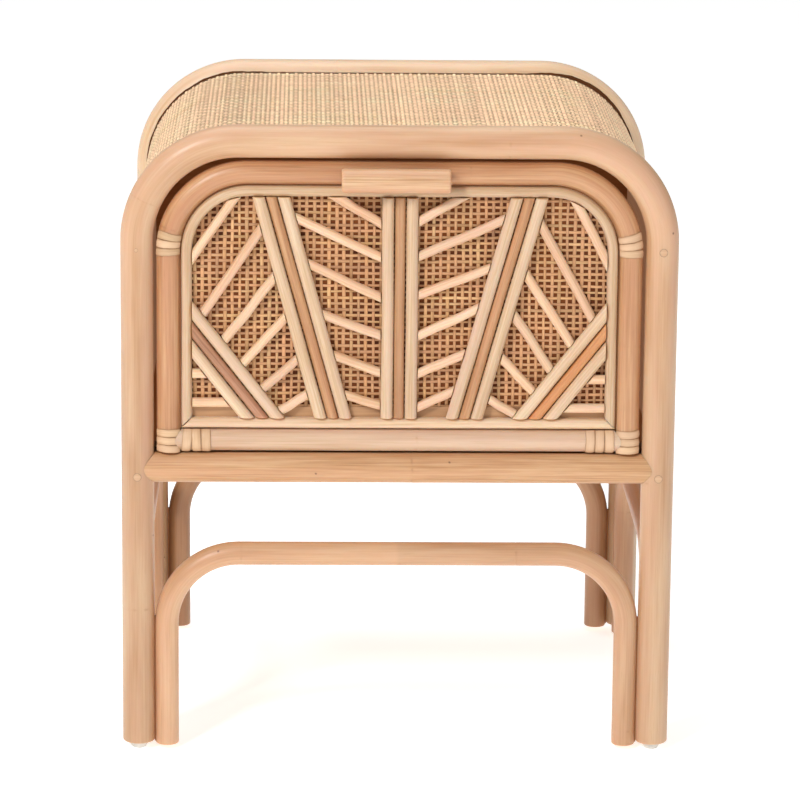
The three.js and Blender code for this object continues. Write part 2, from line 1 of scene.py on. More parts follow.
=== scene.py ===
"""Side table with one drawer, in bent rattan, woven cane and plywood.

Every size is in metres, in the CAD's frame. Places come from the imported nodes' boxes.
"""
import math
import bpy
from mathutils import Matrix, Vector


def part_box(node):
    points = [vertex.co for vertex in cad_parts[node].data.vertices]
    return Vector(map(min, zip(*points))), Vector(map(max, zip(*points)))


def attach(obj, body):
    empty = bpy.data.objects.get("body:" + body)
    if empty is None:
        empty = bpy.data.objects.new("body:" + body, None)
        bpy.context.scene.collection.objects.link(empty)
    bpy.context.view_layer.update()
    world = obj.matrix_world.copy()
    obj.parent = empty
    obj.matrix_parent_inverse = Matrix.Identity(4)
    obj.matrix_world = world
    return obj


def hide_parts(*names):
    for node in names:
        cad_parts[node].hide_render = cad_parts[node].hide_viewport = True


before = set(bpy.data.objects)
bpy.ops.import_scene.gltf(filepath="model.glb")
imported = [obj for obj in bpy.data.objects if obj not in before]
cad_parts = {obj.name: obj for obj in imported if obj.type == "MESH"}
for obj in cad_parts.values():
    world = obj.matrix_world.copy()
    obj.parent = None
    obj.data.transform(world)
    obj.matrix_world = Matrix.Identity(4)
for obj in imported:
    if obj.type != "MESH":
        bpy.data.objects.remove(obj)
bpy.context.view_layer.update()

import zlib
from collections import namedtuple

import bpy
import numpy as np
from mathutils import Matrix, Vector

# ------------------------------------------------------------------ sizes

# Bends of the centre lines, as in the CAD source
HOOP_BEND = 0.087
BRACE_BEND = 0.063
DRAWER_BEND = 0.069
CASE_BEND = 0.09075
REED_BEND = 0.09305
REBATE_BEND = 0.0582
OPENING_BEND = 0.0483

# Poles: how uneven they are, as a share of the radius, and the spacing of their growth rings
HOOP_UNEVENNESS = 0.006
RAIL_UNEVENNESS = 0.01
CANE_UNEVENNESS = 0.035
STICK_UNEVENNESS = 0.04
HOOP_RINGS = 0.33
RAIL_RINGS = 0.3
BRACE_RINGS = 0.24
DRAWER_HOOP_RINGS = 0.28
DRAWER_RAIL_RINGS = 0.31
LEG_GAP = 0.0002              # between a rail's coped end and the leg
DRAWER_LEG_GAP = 0.0012

# Heights between which the legs turn from the colour of the hoops to a browner one: painted shade on the
# lower legs
SHADE_TOP = 0.46
SHADE_FADE = 0.2

# Glue between a brace's leg and the hoop's leg beside it
JOINT_DEPTH = 0.0025          # half its size along the seam's depth
JOINT_SINK = 0.0003           # how far it sinks into both poles

# Ray pattern
LIGHT_CANE_RADIUS = 0.0054
TAN_CANE_RADIUS = 0.0047
CANE_GAP = 0.0003
BUNDLE_HALF = 0.0158          # half the width of three canes side by side
PATTERN_CLEARANCE = 0.0004    # between a stick's end and the bundle it meets
RAY_TILT = math.radians(15.5)     # from upright
CORNER_TILT = math.radians(52)    # from level
RAY_FOOT_X = 0.0569
CORNER_RISE = 0.077           # where a corner bundle's middle meets the side trim
STICK_RADIUS = 0.0043
STICK_SINK = 0.0007           # how deep the sticks press into the webbing
STICK_SIDES = 16
# Sticks of each half: the height where one leaves its bundle, and its slope in degrees
INNER_STICKS = {
    -1: [(0.470, 31), (0.4405, 25), (0.4055, 25), (0.372, 20), (0.3395, 20), (0.3105, 16)],
    1: [(0.472, 30), (0.4415, 24), (0.408, 21), (0.372, 25), (0.3385, 23), (0.3085, 25)],
}
OUTER_STICKS = {
    -1: [(0.5075, 55), (0.465, 56), (0.423, 52), (0.388, 48), (0.351, 41), (0.320, 32)],
    1: [(0.520, 62), (0.470, 61), (0.4265, 57), (0.3905, 56), (0.353, 47), (0.3165, 31)],
}
SHORT_STICKS = {-1: [0.338, 0.3125], 1: [0.334, 0.3085]}

# Trim
TRIM_WIDTH = 0.0096
TRIM_BAND = 0.0099            # trim and its gap
MITRE_GAPS = (0.0016, 0.0009)     # at the left and the right lower corner
GLUE_BEAD = 0.00035           # how far the glue line lies outside the trim
GLUE_RISE = 0.0023

# Weaves
OPEN_PITCH = (0.0064, 0.0053)     # between upright strands, between level strands
OPEN_WIDTH = (0.0029, 0.0024)
CLOSE_PITCH = (0.0041, 0.0078)    # along the arch, front to back
CLOSE_WIDTH = (0.0028, 0.0052)
STRAND_THICKNESS = 0.0006
CLOSE_LAYER = 0.0016          # thickness of the whole woven layer
OPEN_LAYER = 0.0015
SPLIT_WIDTH = 0.003           # widest gap between the weave's back edge and the back hoop
CREVICE_SHADE_RISE = 0.0034            # tallest part of the dark cord beside the back hoop, painted shade for the crevice there
CREVICE_SHADE_DEPTH = 0.0006
BASEBOARD_RISE = 0.0087       # plain strip along the foot of the drawer's webbing

# Bindings
BINDING_TURNS = 3
PEEL_THICKNESS = 0.0011
PEEL_REACH = math.radians(62)     # how far a band goes round its pole to each side

# Boards
BOARD_EDGE = 0.0006

# Light
CASE_MIDDLE = (0.0, 0.0, 0.36)
INNER_FACE_GLOW = 0.4      # strength of the painted glow on the case's inner faces, standing in for the little light that reaches inside
FLOOR_SIZE = 14.0
FLOOR_GLOW = 0.66             # the studio's white floor is lit from its far side
WORLD_LIGHT = 0.34
LIGHT_TARGET = (0, 0, 0.3)

# Camera
CAMERA_PLACE = (-0.083, -3.7063, 1.1456)
CAMERA_PITCH = math.radians(13.251)
CAMERA_TURN = math.radians(1.368)     # to the right, back towards the table
CAMERA_ROLL = math.radians(0.55)
CAMERA_LENS = 188.5

# Facets
POLE_STEP = 0.004             # between stations along a pole
RING_STATIONS = np.array([-0.003, -0.0015, -0.0007, -0.0003, 0, 0.0003, 0.0007, 0.0015, 0.003])
THICK_SIDES = 40
THIN_SIDES = 20

# ------------------------------------------------------------------ small helpers


def rng_for(name):
    """The same random numbers for a piece in every run."""
    return np.random.default_rng(zlib.crc32(name.encode()))


def srgb(red, green, blue):
    """A colour given as it looks on a screen, 0 to 255, in linear light."""
    linear = [c / 12.92 if c <= 0.04045 else ((c + 0.055) / 1.055) ** 2.4
              for c in (red / 255, green / 255, blue / 255)]
    return (*linear, 1.0)


def palette(codes):
    """Colours given in hexadecimal, as they look on a screen."""
    return [srgb(*bytes.fromhex(code)) for code in codes.split()]


def wander(places, rng, wavelength, waves=4):
    """A smooth random curve between about -1 and 1."""
    total = np.zeros_like(places)
    for wave in range(1, waves + 1):
        stretch = rng.uniform(0.7, 1.3) * wave
        phase = rng.uniform(0, 2 * np.pi)
        total += np.sin(2 * np.pi * places * stretch / wavelength + phase) / wave
    return total / 1.8


class Box:
    """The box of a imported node, with its middle and half its size."""

    def __init__(self, node):
        low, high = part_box(node)
        self.low, self.high = np.array(low), np.array(high)
        self.middle = (self.low + self.high) / 2
        self.half = (self.high - self.low) / 2


def lengthwise(travel, second, third):
    """Grain coordinates: the distance travelled, and two places across it."""
    return np.stack([np.broadcast_to(travel[:, None], second.shape), second, third], -1)


# ------------------------------------------------------------------ meshes


class Shape:
    """Points, faces and the values that the materials read, gathered from one or more closed parts."""

    def __init__(self):
        self.points, self.grain, self.tone, self.ring = [], [], [], []
        self.quads, self.tris, self.tri_slots = [], [], []
        self.count = 0

    def tube(self, rings, grain, tone=0.0, ring=0.0, centres=None, cap_slot=0):
        """A closed tube through rings of points. centres are the middles of its two end faces."""
        stations, around = rings.shape[:2]
        index = np.arange(stations * around).reshape(stations, around)
        after = np.roll(index, -1, axis=1)
        quads = np.stack([index[:-1], after[:-1], after[1:], index[1:]], -1).reshape(-1, 4)
        points = rings.reshape(-1, 3)
        grain = grain.reshape(-1, 3)
        marks = np.broadcast_to(ring, (stations, around)).reshape(-1)
        tones = np.broadcast_to(np.reshape(tone, (-1, 1)), (stations, around)).reshape(-1)
        if centres is None:
            first = [[index[0, 0], index[0, j + 1], index[0, j]] for j in range(1, around - 1)]
            last = [[index[-1, 0], index[-1, j], index[-1, j + 1]] for j in range(1, around - 1)]
        else:
            middle = len(points)
            points = np.vstack([points, centres])
            ends = grain.reshape(stations, around, 3)[[0, -1]].mean(axis=1)
            grain = np.vstack([grain, ends])
            marks = np.append(marks, [0, 0])
            tones = np.append(tones, tones[[0, -1]])
            first = [[middle, index[0, (j + 1) % around], index[0, j]] for j in range(around)]
            last = [[middle + 1, index[-1, j], index[-1, (j + 1) % around]] for j in range(around)]
        tris = np.array(first + last)
        if volume(points, quads, tris) < 0:
            quads, tris = quads[:, ::-1], tris[:, ::-1]
        self.points.append(points)
        self.grain.append(grain)
        self.tone.append(tones)
        self.ring.append(marks)
        self.quads.append(quads + self.count)
        self.tris.append(tris + self.count)
        self.tri_slots.append(np.full(len(tris), cap_slot))
        self.count += len(points)

    def piece(self, name, body, slot, nodes, materials, sharp=50):
        mesh = bpy.data.meshes.new(name)
        points = np.vstack(self.points).astype(np.float32)
        quads, tris = np.vstack(self.quads), np.vstack(self.tris)
        mesh.vertices.add(len(points))
        mesh.vertices.foreach_set("co", points.ravel())
        loops = np.concatenate([quads.ravel(), tris.ravel()]).astype(np.int32)
        mesh.loops.add(len(loops))
        mesh.loops.foreach_set("vertex_index", loops)
        starts = np.concatenate([
            np.arange(len(quads)) * 4,
            4 * len(quads) + np.arange(len(tris)) * 3,
        ]).astype(np.int32)
        mesh.polygons.add(len(starts))
        mesh.polygons.foreach_set("loop_start", starts)
        slots = np.concatenate([np.zeros(len(quads)), *self.tri_slots]).astype(np.int32)
        mesh.polygons.foreach_set("material_index", slots)
        mesh.update(calc_edges=True)
        mesh.validate()
        mesh.shade_smooth()
        mesh.set_sharp_from_angle(angle=math.radians(sharp))
        # tone holds random tone, painted shade on the lower legs and painted light on the case weave's
        # top; ring marks growth rings on poles, and painted shade on strands and peel
        for key, kind, field, data in (
            ("grain", "FLOAT_VECTOR", "vector", np.vstack(self.grain)),
            ("tone", "FLOAT", "value", np.concatenate(self.tone)),
            ("ring", "FLOAT", "value", np.concatenate(self.ring)),
        ):
            layer = mesh.attributes.new(key, kind, "POINT")
            layer.data.foreach_set(field, data.astype(np.float32).ravel())
        for material in materials:
            mesh.materials.append(material)
        obj = bpy.data.objects.new(name, mesh)
        bpy.context.scene.collection.objects.link(obj)
        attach(obj, body)
        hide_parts(*nodes)


def volume(points, quads, tris):
    """Six times the enclosed volume, negative if the faces look inwards."""
    halves = np.vstack([quads[:, [0, 1, 2]], quads[:, [0, 2, 3]], tris])
    a, b, c = (points[halves[:, k]] for k in range(3))
    return float(np.einsum("ij,ij->i", a, np.cross(b, c)).sum())


# ------------------------------------------------------------------ paths

# Stations along a centre line: points, the direction out of the bend, and the front direction
Path = namedtuple("Path", "points normals fronts")


def arch_outline(half_span, top, foot, bend, travel):
    """Places on an arch at distances from its left foot: across, up, and the outward angle."""
    leg, quarter, run = top - bend - foot, bend * math.pi / 2, 2 * (half_span - bend)
    first, second, third = leg + quarter, leg + quarter + run, leg + 2 * quarter + run
    angle = np.select(
        [travel <= leg, travel <= first, travel <= second, travel <= third],
        [math.pi, math.pi - (travel - leg) / bend, math.pi / 2, math.pi / 2 - (travel - second) / bend],
        0.0,
    )
    across = np.select(
        [travel <= first, travel <= second],
        [bend * np.cos(angle) - half_span + bend, travel - first - half_span + bend],
        bend * np.cos(angle) + half_span - bend,
    )
    up = top - bend + bend * np.sin(angle)
    up = np.where(travel < leg, foot + travel, up)
    up = np.where(travel > third, top - bend - (travel - third), up)
    return across, up, angle


def arch_length(half_span, top, foot, bend):
    return 2 * (top - bend - foot) + bend * math.pi + 2 * (half_span - bend)


def arch_path(half_span, top, foot, bend, travel, y=0.0, x=None):
    """An arch in the plane of y, or where x is given, one that runs front to back in that plane."""
    across, up, angle = arch_outline(half_span, top, foot, bend, travel)
    flat, one = np.zeros_like(across), np.ones_like(across)
    if x is None:
        points = np.stack([across, flat + y, up], -1)
        normals = np.stack([np.cos(angle), flat, np.sin(angle)], -1)
        fronts = np.stack([flat, -one, flat], -1)
    else:
        points = np.stack([flat + x, across + y, up], -1)
        normals = np.stack([flat, np.cos(angle), np.sin(angle)], -1)
        fronts = np.stack([one, flat, flat], -1)
    return Path(points, normals, fronts)


def station_places(length, rings, step=POLE_STEP):
    """Even stations, with extra ones close to each growth ring."""
    places = [np.linspace(0, length, max(3, int(length / step) + 1))]
    places += [ring + RING_STATIONS for ring in rings]
    places = np.unique(np.concatenate(places))
    places = places[(places >= 0) & (places <= length)]
    keep = np.concatenate([[True], np.diff(places) > 0.00015])
    keep[-1] = True
    return places[keep]


def ring_places(rng, length, spacing):
    """Where a pole's growth rings lie."""
    places = []
    if spacing is None:
        return places
    place = rng.uniform(0.25, 0.9) * spacing
    while place < length - 0.012:
        places.append(place)
        place += spacing * rng.uniform(0.75, 1.25)
    return places


def pole_radii(travel, angles, radius, rings, rng, unevenness):
    """A pole's radius at each station and angle, never more than radius, and how close each
    station is to a growth ring."""
    drift = wander(travel, rng, 0.37)[:, None]
    turn = rng.uniform(0, 2 * np.pi) + 3 * travel[:, None]
    oval = np.cos(2 * angles[None, :] + turn)
    lumps = wander(travel, rng, 0.06)[:, None] * np.cos(3 * angles[None, :] + turn)
    waves = 0.45 * drift + 0.3 * oval + 0.25 * lumps
    reduce = unevenness * (1.1 - waves)
    mark = np.zeros_like(travel)
    for place in rings:
        gap = travel - place
        swell = np.exp(-((gap - 0.004) / 0.006) ** 2)[:, None]
        groove = np.exp(-(gap / 0.0006) ** 2)[:, None]
        reduce = reduce * (1 - 0.7 * swell) + 0.008 * groove
        mark += np.exp(-(gap / 0.0009) ** 2)
    return radius * (1 - np.clip(reduce, 0, 0.05)), np.clip(mark, 0, 1)


def grain_start(rng):
    """Where a piece lies in the grain's space, so that no two look alike."""
    return np.array([rng.uniform(0, 40), rng.uniform(0, 2), rng.uniform(0, 2)])


def grain_of(travel, angles, radii, rng):
    """Coordinates that follow a pole's fibres: along it, and across it in two directions."""
    return lengthwise(travel, radii * np.cos(angles), radii * np.sin(angles)) + grain_start(rng)


def bevel_ends(travel, radii, bevel):
    """Adds the stations of rounded rims at both ends of a pole."""
    if not bevel:
        return travel, radii
    length = travel[-1]
    keep = (travel > bevel * 1.05) & (travel < length - bevel * 1.05)
    turns = np.radians([0, 30, 60, 90])
    rim = bevel * (1 - np.cos(turns))
    shrink = bevel * (1 - np.sin(turns))
    start_radii = radii[0][None, :] - shrink[:, None]
    end_radii = radii[-1][None, :] - shrink[::-1][:, None]
    travel = np.concatenate([rim, travel[keep], length - rim[::-1]])
    radii = np.vstack([start_radii, radii[keep], end_radii])
    return travel, radii


def pole_surface(length, radius, sides, spacing, bevel, unevenness, rng):
    """Stations along a pole, angles round it, and at each its radius and how close a ring is."""
    rings = ring_places(rng, length, spacing)
    places = station_places(length, rings)
    angles = np.linspace(0, 2 * np.pi, sides, endpoint=False)
    radii, mark = pole_radii(places, angles, radius, rings, rng, unevenness)
    travel, radii = bevel_ends(places, radii, bevel)
    return travel, angles, radii, np.interp(travel, places, mark)[:, None]


def bent_pole(shape, arch, radius, name, y, x=None, spacing=None, sides=THICK_SIDES,
              bevel=0.0012, tone=0.0, unevenness=0.012, leg_shade_tones=(0.0, 0.0)):
    """A round pole bent to an arch, with growth rings and rounded rims at its feet. The pair of
    leg tones is added to the tone of its first and its second leg: painted shade that makes the lower
    legs browner and darker than the rest."""
    rng = rng_for(name)
    length = arch_length(*arch)
    travel, angles, radii, mark = pole_surface(length, radius, sides, spacing, bevel, unevenness, rng)
    path = arch_path(*arch, travel, y=y, x=x)
    spread = (np.cos(angles)[None, :, None] * path.normals[:, None, :]
              + np.sin(angles)[None, :, None] * path.fronts[:, None, :])
    points = path.points[:, None, :] + radii[:, :, None] * spread
    # Painted shade: the legs darken and turn browner below SHADE_TOP
    low = np.clip((SHADE_TOP - path.points[:, 2]) / SHADE_FADE, 0, 1)
    leg_shade = np.where(travel < length / 2, leg_shade_tones[0], leg_shade_tones[1])
    grain = grain_of(travel, angles, radii, rng)
    shape.tube(points, grain, tone + leg_shade * low, mark, path.points[[0, -1]], cap_slot=1)


def straight_pole(shape, start, along, radius, name, ends, spacing=None, sides=THIN_SIDES,
                  bevel=0.0004, tone=0.0, unevenness=0.02, bow=0.0, across=(0, -1, 0)):
    """A round pole between two cuts. ends are functions that give, for points on the start of
    its surface lines, how far along each line the cut is."""
    rng = rng_for(name)
    start, along = np.array(start, float), np.array(along, float)
    second = np.array(across, float)
    first = np.cross(second, along)
    reach_low, reach_high = (float(cut(start[None, :])[0]) for cut in ends)
    length = reach_high - reach_low
    travel, angles, radii, mark = pole_surface(length, radius, sides, spacing, bevel, unevenness, rng)
    spread = np.cos(angles)[:, None] * first + np.sin(angles)[:, None] * second
    surface = start + radii[:, :, None] * spread
    cuts = [cut(surface.reshape(-1, 3)).reshape(radii.shape) for cut in ends]
    share = (travel / length)[:, None]
    reach = cuts[0] + share * (cuts[1] - cuts[0])
    sag = bow * np.sin(np.pi * share) * wander(travel, rng, length * 2)[:, None]
    points = surface + reach[:, :, None] * along + sag[:, :, None] * first
    middles = start + np.array([reach_low, reach_high])[:, None] * along
    shape.tube(points, grain_of(travel, angles, radii, rng), tone, mark, middles, cap_slot=1)


# ------------------------------------------------------------------ materials


class Nodes:
    """A material's node tree, with short ways to add what these materials share."""

    def __init__(self, name):
        self.material = bpy.data.materials.new(name)
        self.material.use_nodes = True
        self.tree = self.material.node_tree
        self.tree.nodes.clear()
        self.shader = self.add("BsdfPrincipled")
        self.link(self.shader.outputs[0], self.add("OutputMaterial").inputs[0])

    def add(self, kind, **inputs):
        return self.fill(self.tree.nodes.new("ShaderNode" + kind), **inputs)

    def fill(self, node, **inputs):
        """Sets or links a node's inputs, named with _ for a space."""
        for name, value in inputs.items():
            self.put(value, node.inputs[name.replace("_", " ")])
        return node

    def link(self, source, target):
        self.tree.links.new(source, target)

    def put(self, value, socket):
        if isinstance(value, bpy.types.NodeSocket):
            self.link(value, socket)
        else:
            socket.default_value = value

    def attribute(self, name, output="Fac"):
        node = self.add("Attribute")
        node.attribute_name = name
        return node.outputs[output]

    def object_coordinates(self):
        return self.add("TexCoord").outputs["Object"]

    def face_direction(self):
        return self.add("NewGeometry").outputs["Normal"]

    def stretched(self, vector, stretch):
        return self.add("Mapping", Vector=vector, Scale=stretch).outputs[0]

    def noise(self, vector, stretch, detail=3.0, distortion=0.0):
        """Noise between about 0.3 and 0.7, with features 1 / stretch long in each direction."""
        node = self.add("TexNoise", Vector=self.stretched(vector, stretch), Scale=1.0,
                        Detail=detail, Roughness=0.55, Distortion=distortion)
        return node.outputs["Fac"]

    def cells(self, vector, scale):
        """The distance to the nearest of many scattered points."""
        return self.add("TexVoronoi", Vector=vector, Scale=scale).outputs["Distance"]

    def operate(self, kind, operation, *values):
        node = self.add(kind)
        node.operation = operation
        for value, socket in zip(values, node.inputs):
            self.put(value, socket)
        return node.outputs

    def math(self, operation, *values):
        return self.operate("Math", operation, *values)[0]

    def blend(self, first, first_share, second, second_share):
        first = self.math("MULTIPLY", first, first_share)
        return self.math("ADD", first, self.math("MULTIPLY", second, second_share))

    def spread(self, value, low, high, to_low=0.0, to_high=1.0):
        return self.add("MapRange", Value=value, From_Min=low, From_Max=high,
                        To_Min=to_low, To_Max=to_high).outputs["Result"]

    def ramp(self, factor, colours, places=(0.34, 0.5, 0.66)):
        node = self.add("ValToRGB", Fac=factor)
        node.color_ramp.elements.new(0.5)
        for element, place, colour in zip(node.color_ramp.elements, places, colours):
            element.position = place
            element.color = colour
        return node.outputs[0]

    def mix(self, factor, a, b, blend="MIX"):
        node = self.add("Mix")
        node.data_type = "RGBA"
        node.blend_type = blend
        self.fill(node, Factor=factor, A=a, B=b)
        return next(o for o in node.outputs if o.type == "RGBA")

    def brighten(self, colour, value):
        return self.add("HueSaturation", Color=colour, Value=value).outputs[0]

    def bump(self, height, distance):
        node = self.add("Bump", Strength=0.6, Distance=distance, Height=height)
        self.fill(self.shader, Normal=node.outputs[0])

    def glow_through(self, weight, depth):
        """Light soaks a little way into the fibres and comes out warmer."""
        self.fill(self.shader, Subsurface_Weight=weight, Subsurface_Radius=(1.0, 0.5, 0.25),
                  Subsurface_Scale=depth)

    def glow(self, colour, strength):
        self.fill(self.shader, Emission_Color=colour, Emission_Strength=strength)

    def finish(self, colour, roughness, coat=0.0, specular=0.5):
        self.fill(self.shader, Base_Color=colour, Roughness=roughness, Coat_Weight=coat,
                  Coat_Roughness=0.3, Specular_IOR_Level=specular)
        return self.material


PIN_MARK = srgb(96, 58, 32)
SHADE_TINT = (1.0, 0.86, 0.7, 1.0)    # what the darkest tones are multiplied by: the browner colour of the painted shade, mostly on the lower legs
# Colour of the painted glow on the case's inner faces
INSIDE_GLOW = srgb(150, 118, 92)
BLACK = (0, 0, 0, 1)
WHITE = (1, 1, 1, 1)


def rattan(name, dark, middle, light, flush, scar, streak=0.5, gloss=0.42, broken_rings=True):
    """Sanded rattan: long fibre streaks, soft patches, a warmer flush, scars at the rings, and
    a few pin marks."""
    n = Nodes(name)
    grain = n.attribute("grain", "Vector")
    fibres = n.noise(grain, (16, 620, 620), detail=4)
    hairs = n.noise(grain, (55, 2600, 2600), detail=2)
    patches = n.noise(grain, (7, 60, 60), detail=2)
    warmth = n.noise(grain, (3.3, 95, 95))
    colour = n.ramp(n.blend(fibres, streak, patches, 1 - streak), (dark, middle, light))
    colour = n.mix(n.spread(warmth, 0.45, 0.72, 0.0, 0.75), colour, flush)
    dash = n.math("MULTIPLY", n.spread(hairs, 0.6, 0.72), n.spread(patches, 0.4, 0.6, 0.15, 0.55))
    colour = n.mix(dash, colour, dark)
    scarred = n.attribute("ring")
    if broken_rings:
        broken = n.spread(n.noise(grain, (2, 170, 170), detail=2), 0.5, 0.68, 0.0, 0.5)
        scarred = n.math("MULTIPLY", scarred, broken)
    colour = n.mix(scarred, colour, scar)
    colour = n.mix(n.spread(n.cells(grain, 26), 0.012, 0.034, 0.75, 0.0), colour, PIN_MARK)
    # The tone darkens and browns the colour: random tone from piece to piece, and the painted shade on
    # the lower legs
    deep = n.spread(n.attribute("tone"), -4.0, -1.0, 0.8, 0.0)
    colour = n.mix(deep, colour, SHADE_TINT, "MULTIPLY")
    colour = n.brighten(colour, n.math("MULTIPLY_ADD", n.attribute("tone"), 0.09, 1.0))
    n.bump(n.math("ADD", fibres, n.math("MULTIPLY", hairs, 0.6)), 0.00012)
    n.glow_through(0.45, 0.005)
    roughness = n.spread(fibres, 0.3, 0.7, gloss - 0.07, gloss + 0.13)
    return n.finish(colour, roughness, coat=0.2)


def end_grain(name, pale, pore):
    """A cut end: pale pith full of small dark pores."""
    n = Nodes(name)
    place = n.object_coordinates()
    pores = n.cells(place, 1500)
    colour = n.mix(n.spread(pores, 0.12, 0.4, 0.75, 0.0), pale, pore)
    colour = n.mix(n.spread(n.noise(place, (300, 300, 300)), 0.35, 0.7, 0.0, 0.4), colour, pore)
    n.bump(pores, 0.0002)
    return n.finish(colour, 0.75)


def strand(name, dark, middle, light, flush, edge, gloss=0.5, specular=0.5):
    """Split cane: streaks along each strand, and every strand a little different. edge is the colour of
    the painted shade on marked places: along the edges, under crossing strands, and between turns of
    peel.
    """
    n = Nodes(name)
    grain = n.attribute("grain", "Vector")
    fibres = n.noise(grain, (40, 1500, 1500))
    patches = n.noise(grain, (9, 40, 40), detail=2)
    colour = n.ramp(n.blend(fibres, 0.5, patches, 0.5), (dark, middle, light))
    flushed = n.spread(n.noise(grain, (1.7, 1, 1), detail=1), 0.42, 0.62, 0.0, 0.8)
    colour = n.mix(flushed, colour, flush)
    cloud = n.noise(n.object_coordinates(), (34, 16, 34), detail=2)
    colour = n.mix(n.spread(cloud, 0.4, 0.62, 0.0, 0.5), colour, flush)
    # Painted shade: marked places take the edge colour
    colour = n.mix(n.attribute("ring"), colour, edge)
    colour = n.brighten(colour, n.math("MULTIPLY_ADD", n.attribute("tone"), 0.14, 1.0))
    n.bump(fibres, 0.0001)
    roughness = n.spread(fibres, 0.3, 0.7, gloss - 0.06, gloss + 0.16)
    return n.finish(colour, roughness, coat=specular / 10, specular=specular)


def timber(name, dark, middle, light, stretch, gloss=0.6, ply=None, outside=None):
    """Flat sawn board or veneer. stretch is the grain's fineness along x, y and z, and ply is
    the thickness direction and the layer pitch of a panel whose edges show layers. outside is a
    stain on the faces that look away from the middle of the case; where it is given, the faces that look
    towards the middle glow a little, a painted light inside the case."""
    n = Nodes(name)
    place = n.object_coordinates()
    broad = n.noise(place, tuple(s * 0.12 for s in stretch), distortion=0.8)
    rings = n.add("TexWave", Vector=n.stretched(place, tuple(s * 0.03 for s in stretch)),
                  Scale=6.0, Distortion=5.0, Detail=2.0)
    fine = n.noise(place, stretch, detail=4)
    blend = n.math("MULTIPLY_ADD", rings.outputs["Fac"], 0.2, n.blend(fine, 0.45, broad, 0.35))
    colour = n.ramp(blend, (dark, middle, light), (0.3, 0.52, 0.74))
    if ply:
        axis, pitch = ply
        normal = n.add("SeparateXYZ", Vector=n.face_direction())
        depth = n.add("SeparateXYZ", Vector=place)
        edge = n.math("LESS_THAN", n.math("ABSOLUTE", normal.outputs[axis]), 0.5)
        layers = n.math("GREATER_THAN", n.math("PINGPONG", depth.outputs[axis], pitch), pitch / 2)
        colour = n.mix(n.math("MULTIPLY", edge, n.math("MULTIPLY", layers, 0.6)), colour, dark)
    if outside:
        away = n.operate("VectorMath", "SUBTRACT", place, CASE_MIDDLE)[0]
        along = n.operate("VectorMath", "DOT_PRODUCT", away, n.face_direction())
        facing_out = n.math("GREATER_THAN", along["Value"], 0.05)
        colour = n.mix(facing_out, colour, outside)
        # Painted light: the faces that look into the case glow a little
        n.glow(n.mix(facing_out, INSIDE_GLOW, BLACK), INNER_FACE_GLOW)
    n.bump(fine, 0.00015)
    return n.finish(colour, n.spread(fine, 0.3, 0.7, gloss - 0.08, gloss + 0.12), specular=0.35)


def plastic(name, colour):
    """Moulded plastic with scuffs."""
    n = Nodes(name)
    place = n.object_coordinates()
    scuffs = n.noise(place, (160, 160, 60))
    shade = n.brighten(colour, n.spread(scuffs, 0.35, 0.7, 1.05, 0.85))
    n.bump(n.noise(place, (900, 900, 900), detail=2), 0.00008)
    return n.finish(shade, n.spread(scuffs, 0.3, 0.7, 0.35, 0.6))


POLE = rattan("pole_rattan", *palette("c2946c d0a884 dab894 d4a486 b68a62"), streak=0.35)
# Paler than the hoops' pole rattan: painted light on the back hoop's top
LIT_BACK_POLE = rattan("lit_back_rattan", *palette("d4ae88 e2c4a2 ead2b2 e2c0a6 c4986e"), streak=0.35)
RAIL = rattan("rail_rattan", *palette("b48256 ca9d72 d8b28a ce9a74 a8784e"), streak=0.7)
BRACE_POLE = rattan("brace_rattan", *palette("bc8e66 cea37e d8b490 d09e7e b0825a"), streak=0.35)
DRAWER_POLE = rattan("drawer_rattan", *palette("b07a52 c6946a d6ac82 c68c68 a47048"), streak=0.5)
LIGHT = rattan("light_cane", *palette("c8a47c dcbc98 e8d0b2 e6c6b0 b0845c"), streak=0.6, gloss=0.46)
HANDLE = rattan("handle_rattan", *palette("ba8c64 d0a680 debc96 d4a282 aa7e54"), streak=0.7)
TAN = rattan("tan_cane", *palette("a8764e c09066 cea47a c8926c 966640"), streak=0.6, gloss=0.5)
BROWN = rattan("brown_cane", *palette("98684a ba8868 ce9e7e be8668 7e5438"), streak=0.7, gloss=0.5)
ORANGE = rattan("orange_cane", *palette("be7c48 d6965e e0a870 d68e5c a0683a"), streak=0.6, gloss=0.5)
STICK = rattan("stick_cane", *palette("cea27c e0ba96 eaceae e4bca4 ba8a62"), streak=0.55, gloss=0.46)
RAIL_POLE = rattan("bottom_rattan", *palette("c09a78 d3b395 dec1a5 d5b19c b28a64"), streak=0.4)
PLUG_WOOD = rattan("plug_wood", *palette("c4946c d2a884 dcb894 d6a486 543018"), broken_rings=False)
END = end_grain("cane_end_grain", *palette("e2ba88 96663e"))
PEEL = strand("cane_peel", *palette("be966c d2ae86 e2c49c dab496 a0744c"), gloss=0.4)
OPEN = strand("open_webbing", *palette("a67244 ca9a66 eac68e ce966c 8c5a32"))
CLOSE = strand("close_weave", *palette("f0c692 fee2b8 fff2cc ffd4b0 683e1e"), gloss=0.75, specular=0.12)
GLUE = strand("glue_line", *palette("96643e b27e54 c49266 b47a54 825632"), gloss=0.7, specular=0.2)
